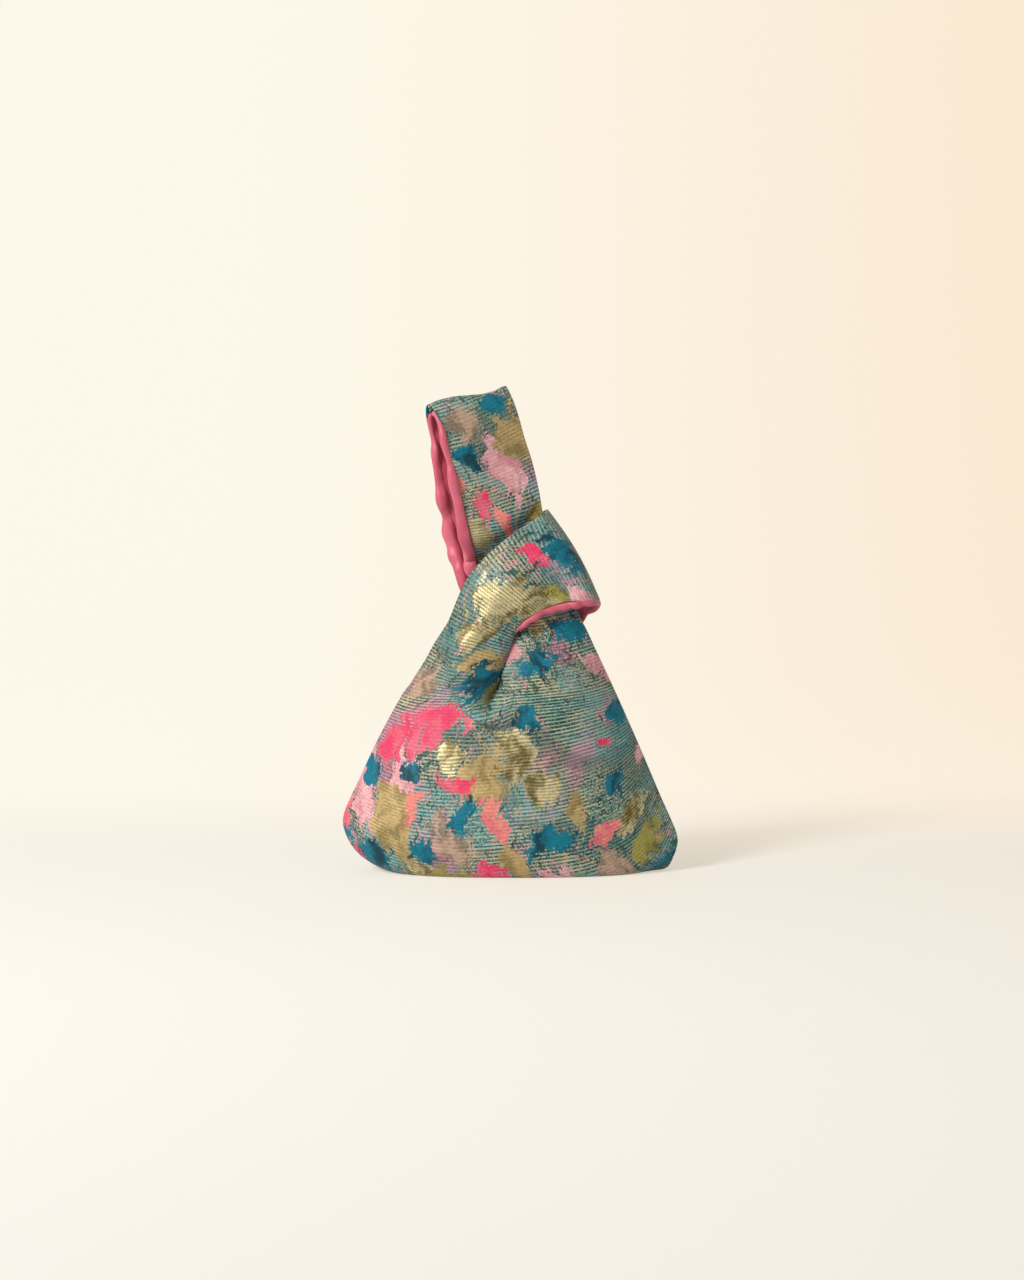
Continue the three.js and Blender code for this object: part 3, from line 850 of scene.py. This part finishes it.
class Nodes:
    """Short ways to add nodes to a material or a world. A value is a number, a colour or a socket."""

    def __init__(self, owner):
        owner.use_nodes = True
        self.owner = owner
        self.tree = owner.node_tree

    def add(self, kind, inputs, **settings):
        node = self.tree.nodes.new(kind)
        for name, value in settings.items():
            setattr(node, name, value)
        self.fill(node, inputs)
        return node

    def fill(self, node, inputs):
        for name, value in inputs.items():
            if isinstance(value, bpy.types.NodeSocket):
                self.tree.links.new(value, node.inputs[name])
            else:
                node.inputs[name].default_value = value

    def set(self, name, inputs):
        """Fills inputs of a node that is there from the start."""
        self.fill(self.tree.nodes[name], inputs)

    def number(self, operation, a, b=0.0, c=0.0):
        return self.add("ShaderNodeMath", {0: a, 1: b, 2: c}, operation=operation).outputs[0]

    plus = partialmethod(number, "ADD")
    minus = partialmethod(number, "SUBTRACT")
    times = partialmethod(number, "MULTIPLY")
    times_plus = partialmethod(number, "MULTIPLY_ADD")

    def wave(self, phase):
        """A sine from 0 to 1."""
        return self.times_plus(self.number("SINE", phase), 0.5, 0.5)

    def vector(self, operation, a, b=(0, 0, 0), output="Vector"):
        return self.add("ShaderNodeVectorMath", {0: a, 1: b}, operation=operation).outputs[output]

    def scaled(self, vector, factor):
        inputs = {0: vector, "Scale": factor}
        return self.add("ShaderNodeVectorMath", inputs, operation="SCALE").outputs[0]

    def mix(self, share, a, b):
        return self.add("ShaderNodeMix", {0: share, 6: a, 7: b}, data_type="RGBA").outputs[2]

    def mix_vector(self, share, a, b):
        return self.add("ShaderNodeMix", {0: share, 4: a, 5: b}, data_type="VECTOR").outputs[1]

    def between(self, value, low, high):
        inputs = {"Value": value, "From Min": low, "From Max": high}
        return self.add("ShaderNodeMapRange", inputs, interpolation_type="SMOOTHSTEP").outputs[0]

    def cloth_place(self):
        """The place on the flat cloth, in millimetres."""
        return self.scaled(self.add("ShaderNodeUVMap", {}, uv_map="cloth").outputs[0], 1 / MM)

    def noise(self, place, size, turn, seed, detail, roughness=0.5, output=0):
        mapped = self.add("ShaderNodeMapping", {
            "Vector": place,
            "Scale": (1 / size[0], 1 / size[1], 1),
            "Rotation": (0, 0, math.radians(turn)),
            "Location": [seed * step for step in SEED_STEPS],
        }).outputs[0]
        inputs = {"Vector": mapped, "Scale": 1.0, "Detail": detail, "Roughness": roughness}
        return self.add("ShaderNodeTexNoise", inputs, noise_dimensions="3D").outputs[output]

    def centred(self, *field):
        """Noise that swings about 0."""
        return self.minus(self.noise(*field), 0.5)

    def ellipse(self, place, x, y, half_width, half_height, lean):
        """Square of the distance from an ellipse's middle, 1 at its edge. The place's third part is 1."""
        cos, sin = math.cos(math.radians(lean)), math.sin(math.radians(lean))
        total = 0.0
        for u, v, half in ((cos, sin, half_width), (-sin, cos, half_height)):
            axis = (u / half, v / half, -(u * x + v * y) / half)
            part = self.vector("DOT_PRODUCT", place, axis, "Value")
            total = self.times_plus(part, part, total)
        return total

    def near(self, place, centre, radius):
        """1 at a place of the flat cloth, falling to 0 at a radius round it."""
        away = self.vector("DISTANCE", place, (*centre, 0), "Value")
        return self.minus(1.0, self.between(away, 0.0, radius))

    def bump(self, height, distance, strength, **more):
        inputs = {"Height": height, "Distance": distance, "Strength": strength, **more}
        return self.add("ShaderNodeBump", inputs).outputs[0]

    def seen(self):
        """1 for what the camera sees, directly, in a reflection or through glass."""
        rays = self.add("ShaderNodeLightPath", {}).outputs
        share = rays["Is Camera Ray"]
        for ray in ("Is Glossy Ray", "Is Transmission Ray"):
            share = self.number("MAXIMUM", share, rays[ray])
        return share


# Brocade. Sizes are millimetres of the flat cloth.
RIB = 2.1
RIB_LEAN = math.radians(3)
RIB_BOW = 0.0011
RIB_WANDER = 9.0
EDGE_STEP = 1.6
SWIRL_REACH = (22, 22, 0)
SAGE = linear(152, 164, 132)
GREY_GREEN = linear(106, 152, 136)
DEEP_GREEN = linear(38, 78, 64)
DEEP_TEAL = linear(6, 68, 74)
FLECK = linear(212, 188, 164)
BLUE_GREY = linear(102, 168, 172)
MAUVE = linear(200, 124, 152)
ROSE = linear(204, 136, 144)
LIGHT_PINK = linear(228, 170, 174)
HOT_PINK = linear(220, 58, 98)
WARM_PINK = linear(216, 100, 118)
CORAL = linear(228, 136, 124)
TAUPE = linear(184, 152, 130)
GREY_TAUPE = linear(130, 110, 94)
FLAT_GOLD = linear(186, 160, 110)
DULL_GOLD = linear(142, 124, 78)
CHAMPAGNE = linear(208, 195, 152)
OLD_GOLD = linear(118, 104, 60)
LIME = linear(164, 154, 76)
OLIVE = linear(108, 102, 50)
TEAL = linear(0, 110, 132)
DARK_TEAL = linear(0, 54, 68)

# Irregular fields of the brocade: length across and along, turn, seed and detail.
SWIRL = ((19, 19), 0, 21, 2.0)
GRAIN = ((1.2, 1.0), 0, 22, 1.0)
BREAKS = ((9, 2.4), 4, 24, 2.0)
LIGHT_DRIFT = ((60, 14), 6, 25, 2.0)
DARK_DRIFT = ((44, 18), -6, 26, 2.0)
YARN = ((0.9, 0.45), 0, 27, 1.0)
LINE_DRIFT = ((24, 24), 0, 28, 1.0)
WANDER = ((90, 90), 0, 30, 1.0)
FLECK_DRIFT = ((30, 40), 0, 31, 2.0)
FLECKS = ((1.1, 0.8), 0, 32, 1.0)
SPECKLE = ((1.3, 1.1), 0, 33, 1.0)
MOTTLE = ((34, 20), 10, 34, 2.0)
DRIFT_LEVELS = (0.38, 0.64)

# Washes over the ground: colour, length across and along, turn, level it starts at, strength, seed and
# the place, radius and amount of a drift.
WASHES = (
    (BLUE_GREY, (50, 22), 8, 0.52, 0.55, 1, (-20, 190), 60, 0.10),
    (MAUVE, (34, 60), -20, 0.63, 0.85, 2, (-80, 112), 62, 0.17),
    (ROSE, (26, 40), 14, 0.66, 0.7, 3, (30, 285), 45, 0.07),
    (DEEP_TEAL, (46, 26), -10, 0.55, 0.5, 4, (70, 60), 80, 0.03),
)
WASH_SOFTNESS = 0.07

# Thin strokes over the ground: colour, turn, level it starts at and seed. A calm place has fewer.
STROKES = (
    (DARK_TEAL, 12, 0.64, 71),
    (ROSE, -22, 0.66, 72),
    (FLAT_GOLD, 38, 0.67, 73),
    (DEEP_GREEN, 70, 0.64, 74),
)
STROKE_SIZE = (2.6, 15)
STROKE_SOFTNESS = 0.02
STROKE_STRENGTH = 0.85
CALM = ((74, 105), 70, 0.12)

# Woven patches from the lowest to the highest: two colours, metal, share of the ribs covered, softness,
# turn of the strokes, and places on the cloth as across, up, half width, half height and lean.
PATCHES = (
    (LIGHT_PINK, ROSE, 0.0, 0.95, 0.10, 10, (
        (-84, 80, 11, 26, 20), (-52, 84, 8, 22, -15), (22, 24, 18, 8, 10), (44, 282, 7, 20, 10),
        (-18, 252, 12, 6, 30), (70, 158, 14, 5, -20), (-30, 300, 20, 14, 0), (98, 96, 4, 8, 10),
        (16, 176, 9, 12, 0))),
    (TAUPE, GREY_TAUPE, 0.0, 0.9, 0.10, -8, (
        (-20, 50, 10, 13, 15), (-70, 142, 8, 12, 20), (24, 308, 10, 8, 10), (72, 32, 11, 8, -20))),
    (FLAT_GOLD, DULL_GOLD, 0.25, 1.0, 0.05, 4, (
        (-56, 56, 12, 18, 20), (-4, 88, 12, 16, -30), (54, 72, 5, 10, 25), (54, 300, 10, 15, -10),
        (-34, 168, 10, 8, 30), (-96, 112, 6, 9, 0), (14, 40, 6, 8, 30))),
    (HOT_PINK, WARM_PINK, 0.0, 1.0, 0.06, 18, (
        (-40, 118, 15, 12, 30), (-64, 104, 7, 11, 0), (-20, 84, 8, 7, 40), (-4, 28, 10, 8, 0),
        (26, 262, 7, 9, 20), (-56, 238, 8, 6, 0), (66, 108, 5, 3, 10), (-86, 30, 7, 6, -20))),
    (LIME, OLIVE, 0.2, 0.9, 0.10, 80, (
        (-34, 24, 18, 7, 5), (48, 18, 20, 7, -5), (100, 40, 12, 7, 30), (-10, 142, 6, 8, 0),
        (-26, 232, 12, 6, 30), (58, 248, 6, 8, 0))),
    (TEAL, DARK_TEAL, 0.0, 1.0, 0.06, -12, (
        (-76, 84, 8, 9, 0), (-14, 66, 8, 8, 30), (-72, 34, 12, 9, 20), (38, 52, 12, 9, 15),
        (82, 122, 8, 8, 0), (74, 78, 8, 7, 20), (-24, 152, 10, 16, -20), (34, 160, 12, 8, 25),
        (44, 222, 13, 10, 10), (22, 290, 8, 8, 0), (-48, 254, 12, 8, 10), (-8, 208, 9, 12, 30),
        (8, 14, 18, 6, 0), (92, 18, 12, 7, 0), (56, 178, 9, 7, 0), (-46, 92, 6, 7, 0), (50, 318, 8, 5, 0),
        (-100, 44, 9, 7, 0), (-38, 42, 9, 7, -20), (20, 122, 6, 7, 0))),
    (CORAL, WARM_PINK, 0.0, 1.0, 0.05, 25, (
        (6, 62, 5, 12, 25), (-46, 68, 4, 8, -30), (-16, 122, 4, 8, 15), (70, 52, 5, 9, -20),
        (36, 248, 4, 8, 20), (-92, 54, 4, 7, 0), (10, 270, 3, 8, 0))),
    (CHAMPAGNE, OLD_GOLD, 0.6, 1.0, 0.06, 60, (
        (-40, 208, 19, 15, 25), (-50, 180, 9, 9, 0), (-18, 222, 10, 12, 20), (14, 104, 8, 17, 10),
        (-26, 100, 6, 7, 0), (30, 84, 7, 8, 30), (88, 62, 12, 9, 25), (-44, 32, 9, 7, 0),
        (18, 244, 6, 8, 0), (40, 188, 8, 6, 20))),
)

# Edges of the patches: how far past a spot they start, and what rags, brush strokes and grain add.
SPOT_EDGE = 1.1
RAGS_SIZE = (13, 13)
RAGS_REACH = 2.8
BRUSH_SIZE = (2.2, 19)
BRUSH_REACH = 1.7
GRAIN_REACH = 0.9
TONE_SIZE = (8, 15)

# Threads of metal rise in wavy lines, and flat patches have a fine twill.
LINE_PITCH = 1.9
LINE_WAVE = 16
TWILL = 1.3

# Light and shade of the weave: the whole, the painted shade in the gaps of each kind of cloth, and the
# unevenness of the yarn.
BRIGHTNESS = 1.12
RIB_GAP_SHADE = 0.42
FLAT_GAP_SHADE = 0.16
LINE_GAP_SHADE = 0.72
SPECKLE_SHADE = 0.22
TWILL_SHADE = 0.12
YARN_SHADE = 0.8
ROUGHNESS = 0.54
METAL_ROUGHNESS = 0.44
YARN_ROUGHNESS = 0.14
# Relief of the weave: its depth in metres and its strength, and what each kind of cloth adds.
RELIEF = (0.0003, 0.8)
RIB_RELIEF = 1.0
TWILL_RELIEF = 0.14
LINE_RELIEF = 0.8
YARN_RELIEF = 0.5


def make_brocade():
    """Brocade: a ribbed ground with washes and strokes, and woven patches over it."""
    n = Nodes(bpy.data.materials.new("brocade"))
    place = n.cloth_place()
    across, along, _ = n.add("ShaderNodeSeparateXYZ", {0: place}).outputs

    # Weaving steps the edges of the patches from rib to rib.
    row = n.number("FLOOR", n.number("DIVIDE", along, RIB / 2))
    chance = n.add("ShaderNodeTexWhiteNoise", {"W": row}, noise_dimensions="1D").outputs[0]
    stepped_across = n.plus(across, n.times(n.minus(chance, 0.5), EDGE_STEP))
    stepped_along = n.times(n.plus(row, 0.5), RIB / 2)
    stepped = n.add("ShaderNodeCombineXYZ", {0: stepped_across, 1: stepped_along, 2: 1.0}).outputs[0]
    swirl = n.vector("SUBTRACT", n.noise(stepped, *SWIRL, output=1), (0.5, 0.5, 0.5))
    painted = n.vector("ADD", stepped, n.vector("MULTIPLY", swirl, SWIRL_REACH))
    grain = n.centred(stepped, *GRAIN)
    yarn = n.noise(place, *YARN)

    # Ground of two-coloured ribs, broken here and there.
    wander = n.times(n.noise(place, *WANDER), RIB_WANDER)
    slope = n.times_plus(across, -RIB_BOW, -math.tan(RIB_LEAN))
    leaning = n.times_plus(across, slope, n.plus(along, wander))
    rib = n.wave(n.times(leaning, 2 * math.pi / RIB))
    broken = n.centred(place, *BREAKS)
    speckle = n.between(n.noise(place, *SPECKLE), 0.35, 0.65)
    mottled = n.between(n.noise(painted, *MOTTLE), 0.50, 0.60)
    woven = n.times_plus(n.minus(speckle, rib), mottled, rib)
    light_rib = n.between(n.times_plus(broken, 1.8, woven), 0.25, 0.85)
    light = n.mix(n.between(n.noise(painted, *LIGHT_DRIFT), *DRIFT_LEVELS), SAGE, GREY_GREEN)
    dark = n.mix(n.between(n.noise(painted, *DARK_DRIFT), *DRIFT_LEVELS), DEEP_TEAL, DEEP_GREEN)
    colour = n.mix(light_rib, dark, light)
    flecked = n.times_plus(n.noise(painted, *FLECK_DRIFT), 0.35, n.noise(place, *FLECKS))
    colour = n.mix(n.times(n.between(flecked, 0.66, 0.80), 0.6), colour, FLECK)
    for tint, size, turn, level, strength, seed, centre, radius, more in WASHES:
        field = n.times_plus(grain, 0.12, n.noise(painted, size, turn, seed, 3.0))
        field = n.times_plus(n.near(place, centre, radius), more, field)
        wash = n.times(n.between(field, level - WASH_SOFTNESS, level + WASH_SOFTNESS), strength)
        dry = n.times_plus(light_rib, 0.5, 0.5)
        colour = n.mix(n.times(wash, dry), colour, tint)

    centre, radius, fewer = CALM
    calm = n.times(n.near(place, centre, radius), fewer)
    for tint, turn, level, seed in STROKES:
        field = n.minus(n.noise(painted, STROKE_SIZE, turn, seed, 2.0), calm)
        field = n.times_plus(grain, 0.15, field)
        stroke = n.between(field, level - STROKE_SOFTNESS, level + STROKE_SOFTNESS)
        colour = n.mix(n.times(stroke, STROKE_STRENGTH), colour, tint)

    metal = 0.0
    flatness = 0.0
    for seed, (tint, deep, metallic, cover, soft, turn, spots) in enumerate(PATCHES):
        nearest = 100.0
        for spot in spots:
            nearest = n.number("MINIMUM", n.ellipse(painted, *spot), nearest)
        nearest = n.number("SQRT", nearest)
        ragged = n.centred(painted, RAGS_SIZE, 0, seed, 5.0, 0.65)
        brushed = n.centred(painted, BRUSH_SIZE, turn, seed, 2.0)
        field = n.times_plus(ragged, RAGS_REACH, n.minus(SPOT_EDGE, nearest))
        field = n.times_plus(brushed, BRUSH_REACH, field)
        field = n.times_plus(grain, GRAIN_REACH, field)
        mask = n.between(field, -soft, soft)
        tone = n.noise(painted, TONE_SIZE, turn, seed + 40, 4.0, 0.6)
        tone = n.between(n.times_plus(n.minus(yarn, 0.5), 0.5 * metallic, tone), 0.42, 0.62)
        bare = n.minus(1.0, mask)
        covered = n.times(mask, n.times_plus(light_rib, cover - 1, 1.0))
        colour = n.mix(covered, colour, n.mix(tone, tint, deep))
        metal = n.times_plus(mask, metallic, n.times(metal, bare))
        flatness = n.times_plus(mask, cover, n.times(flatness, bare))

    # Wavy lines of metal thread, and the fine twill of flat patches.
    drawn = n.times(n.noise(place, *LINE_DRIFT), LINE_WAVE)
    wavy = n.wave(n.times_plus(leaning, 2 * math.pi / LINE_PITCH, drawn))
    twill = n.number("SINE", n.times(n.plus(across, along), 2 * math.pi / TWILL))

    # Painted shade: the colour is darker in the gaps between ribs and between lines, where shade would
    # fall in the grooves.
    gap = n.times(n.minus(1.0, rib), n.times_plus(flatness, FLAT_GAP_SHADE - RIB_GAP_SHADE, RIB_GAP_SHADE))
    gap = n.times_plus(n.times(n.minus(1.0, wavy), metal), LINE_GAP_SHADE, gap)
    specks = n.times(n.minus(1.0, speckle), n.times(flatness, SPECKLE_SHADE))
    lines = n.times_plus(n.times(twill, flatness), TWILL_SHADE, n.minus(BRIGHTNESS, gap))
    lit = n.times(n.minus(lines, specks), n.times_plus(yarn, YARN_SHADE, 1 - YARN_SHADE / 2))
    finished = n.scaled(colour, lit)
    rough = n.times_plus(metal, METAL_ROUGHNESS - ROUGHNESS, ROUGHNESS)
    rough = n.times_plus(yarn, YARN_ROUGHNESS, n.minus(rough, YARN_ROUGHNESS / 2))

    # Relief of the ribs, of flat patches and of metal, each mixed in where it belongs.
    ribbed, smooth, lined = (
        n.bump(n.times_plus(wave, reach, n.times(yarn, YARN_RELIEF)), *RELIEF)
        for wave, reach in ((rib, RIB_RELIEF), (twill, TWILL_RELIEF), (wavy, LINE_RELIEF)))
    relief = n.mix_vector(metal, n.mix_vector(flatness, ribbed, smooth), lined)
    n.set(SHADER, {
        "Base Color": finished,
        "Metallic": metal,
        "Roughness": rough,
        "Specular IOR Level": 0.25,
        "Sheen Weight": 0.06,
        "Sheen Roughness": 0.4,
        "Normal": n.vector("NORMALIZE", relief),
    })
    return n.owner


# Satin: two tones, its fields as for the brocade, and the relief of creases and threads.
LIGHT_SATIN = linear(206, 96, 114)
DEEP_SATIN = linear(182, 70, 92)
SATIN_TONE = ((22, 30), 0, 51, 2.0)
SATIN_THREAD = ((0.35, 2.5), 0, 52, 1.0)
SATIN_CREASES = ((6, 13), 12, 53, 2.0)
CREASE_RELIEF = (0.0025, 0.4)
THREAD_RELIEF = (0.00012, 0.5)


def make_satin():
    """Satin with fine threads and soft creases."""
    n = Nodes(bpy.data.materials.new("satin"))
    place = n.cloth_place()
    tone = n.between(n.noise(place, *SATIN_TONE), 0.3, 0.7)
    thread = n.noise(place, *SATIN_THREAD)
    colour = n.mix(tone, LIGHT_SATIN, DEEP_SATIN)
    creases = n.bump(n.noise(place, *SATIN_CREASES), *CREASE_RELIEF)
    n.set(SHADER, {
        "Base Color": n.scaled(colour, n.times_plus(thread, 0.16, 0.92)),
        "Roughness": n.times_plus(thread, 0.14, 0.38),
        "Sheen Weight": 0.1,
        "Normal": n.bump(thread, *THREAD_RELIEF, Normal=creases),
    })
    return n.owner


brocade = make_brocade()
satin = make_satin()
for label, side, shares in (("front", FRONT, FRONT_LIP), ("back", BACK, BACK_LIP)):
    lip = [towards_heel(share) for share in shares]
    for layer, inner, outer, material, slot in (
        ("outer", HALF_GAP, OUTSIDE, brocade, "brocade"),
        ("lining", -INSIDE, -HALF_GAP, satin, "satin"),
    ):
        sheet = panel_sheet(side, lip)
        if layer == "lining":
            draw_in_seams(sheet)
            roll_edges(sheet)
        else:
            turn_in_seams(sheet)
        piece = closed_cloth(f"{layer}_{label}", sheet, inner, outer)
        piece.data.materials.append(material)
        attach(piece, "root")
        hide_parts(f"{layer}_{label}_panel")

# The floor runs back and curves up into a backdrop.
FLOOR_FRONT = -3000
FLOOR_BACK = 1200
SWEEP = 900
SWEEP_STEPS = 12
WALL_TOP = 4000
STAGE_HALF_WIDTH = 4000
PAPER_COLOUR = linear(234, 245, 255)
PAPER_ROUGHNESS = 0.9
FLOOR_COLOUR = linear(255, 243, 222)
# Painted shade on the floor towards the camera.
NEAR_SHADE_COLOUR = linear(226, 207, 184)
WALL_COLOUR = linear(255, 249, 234)
# Painted shade on the right side of the wall.
SHADED_COLOUR = linear(252, 234, 210)
FLOOR_OWN_LIGHT = 0.58
WALL_OWN_LIGHT = 0.95
# Metres over which the wall's colour starts, the painted shade on the floor towards the camera comes and
# goes, and the painted shade on the right side comes in.
WALL_FROM = (0.0, 0.4)
NEAR_SHADE_FROM = (-2.4, -1.4)
NEAR_SHADE_TO = (-1.3, -0.25)
SHADED_FROM = (-0.35, 0.75)


def make_paper():
    """Pale paper that the camera sees half by its own light, so that it stays pale behind the object."""
    n = Nodes(bpy.data.materials.new("stage"))
    n.set(SHADER, {"Base Color": PAPER_COLOUR, "Roughness": PAPER_ROUGHNESS})
    position = n.add("ShaderNodeNewGeometry", {}).outputs["Position"]
    x, y, _ = n.add("ShaderNodeSeparateXYZ", {0: position}).outputs
    behind = n.between(y, *WALL_FROM)
    share = n.times_plus(behind, WALL_OWN_LIGHT - FLOOR_OWN_LIGHT, FLOOR_OWN_LIGHT)
    tone = n.mix(behind, FLOOR_COLOUR, WALL_COLOUR)
    # Painted shade in the colour the stage glows with: darker on the floor towards the camera and on the
    # right side.
    near = n.minus(n.between(y, *NEAR_SHADE_FROM), n.between(y, *NEAR_SHADE_TO))
    tone = n.mix(near, tone, NEAR_SHADE_COLOUR)
    tone = n.mix(n.between(x, *SHADED_FROM), tone, SHADED_COLOUR)
    glow = n.add("ShaderNodeEmission", {"Color": tone, "Strength": 1.0}).outputs[0]
    lit = n.tree.nodes[SHADER].outputs[0]
    mixed = n.add("ShaderNodeMixShader", {0: n.times(n.seen(), share), 1: lit, 2: glow})
    n.set("Material Output", {"Surface": mixed.outputs[0]})
    return n.owner


def make_stage():
    profile = [(FLOOR_FRONT, 0), (FLOOR_BACK, 0)]
    for k in range(1, SWEEP_STEPS + 1):
        angle = math.pi / 2 * k / SWEEP_STEPS
        profile.append((FLOOR_BACK + SWEEP * math.sin(angle), SWEEP - SWEEP * math.cos(angle)))
    profile.append((FLOOR_BACK + SWEEP, WALL_TOP))
    edges = (-STAGE_HALF_WIDTH, STAGE_HALF_WIDTH)
    points = [(x * MM, y * MM, z * MM) for y, z in profile for x in edges]
    faces = [(2 * k, 2 * k + 1, 2 * k + 3, 2 * k + 2) for k in range(len(profile) - 1)]
    mesh = bpy.data.meshes.new("stage")
    mesh.from_pydata(points, [], faces)
    mesh.shade_smooth()
    mesh.materials.append(make_paper())
    return new_object("stage", mesh)


stage = make_stage()


def aim(thing, place, target):
    """Puts a camera or a light at a place and turns it to a target."""
    thing.location = place
    thing.rotation_euler = (Vector(target) - Vector(place)).to_track_quat("-Z", "Y").to_euler()


# Camera at the photograph's angle. Lengths are metres, apart from its sensor's.
CAMERA_DISTANCE = 2.1
CAMERA_ELEVATION = math.radians(5)
CAMERA_TARGET = Vector((0.0009, 0, 0.137))
FRAME_HEIGHT = 0.7552
SENSOR = 36
camera_data = bpy.data.cameras.new("camera")
camera_data.sensor_width = SENSOR
camera_data.lens = SENSOR * CAMERA_DISTANCE / FRAME_HEIGHT
camera = new_object("camera", camera_data)
offset = Vector((0, -math.cos(CAMERA_ELEVATION), math.sin(CAMERA_ELEVATION))) * CAMERA_DISTANCE
aim(camera, CAMERA_TARGET + offset, CAMERA_TARGET)
bpy.context.scene.camera = camera

# Soft studio light: a large key from the left, in metres and watts, and a pale surround.
KEY_PLACE = (-1.42, -1.5, 1.45)
KEY_TARGET = (0, 0, 0.12)
KEY_SIZE = 0.6
KEY_POWER = 56
KEY_COLOUR = (1, 0.97, 0.92)
SURROUND_COLOUR = (1, 0.92, 0.81, 1)
SURROUND_STRENGTH = 0.38
key_data = bpy.data.lights.new("key", "AREA")
key_data.size = KEY_SIZE
key_data.energy = KEY_POWER
key_data.color = KEY_COLOUR
aim(new_object("key", key_data), KEY_PLACE, KEY_TARGET)


def make_surround():
    """A world that lights the object softly and is as pale as the wall where it is seen."""
    n = Nodes(bpy.data.worlds.new("surround"))
    n.set("Background", {"Color": SURROUND_COLOUR, "Strength": SURROUND_STRENGTH})
    light = n.tree.nodes["Background"].outputs[0]
    far = n.add("ShaderNodeBackground", {"Color": WALL_COLOUR}).outputs[0]
    mixed = n.add("ShaderNodeMixShader", {0: n.seen(), 1: light, 2: far})
    n.set("World Output", {"Surface": mixed.outputs[0]})
    return n.owner


bpy.context.scene.world = make_surround()
bpy.context.scene.view_settings.view_transform = "Standard"
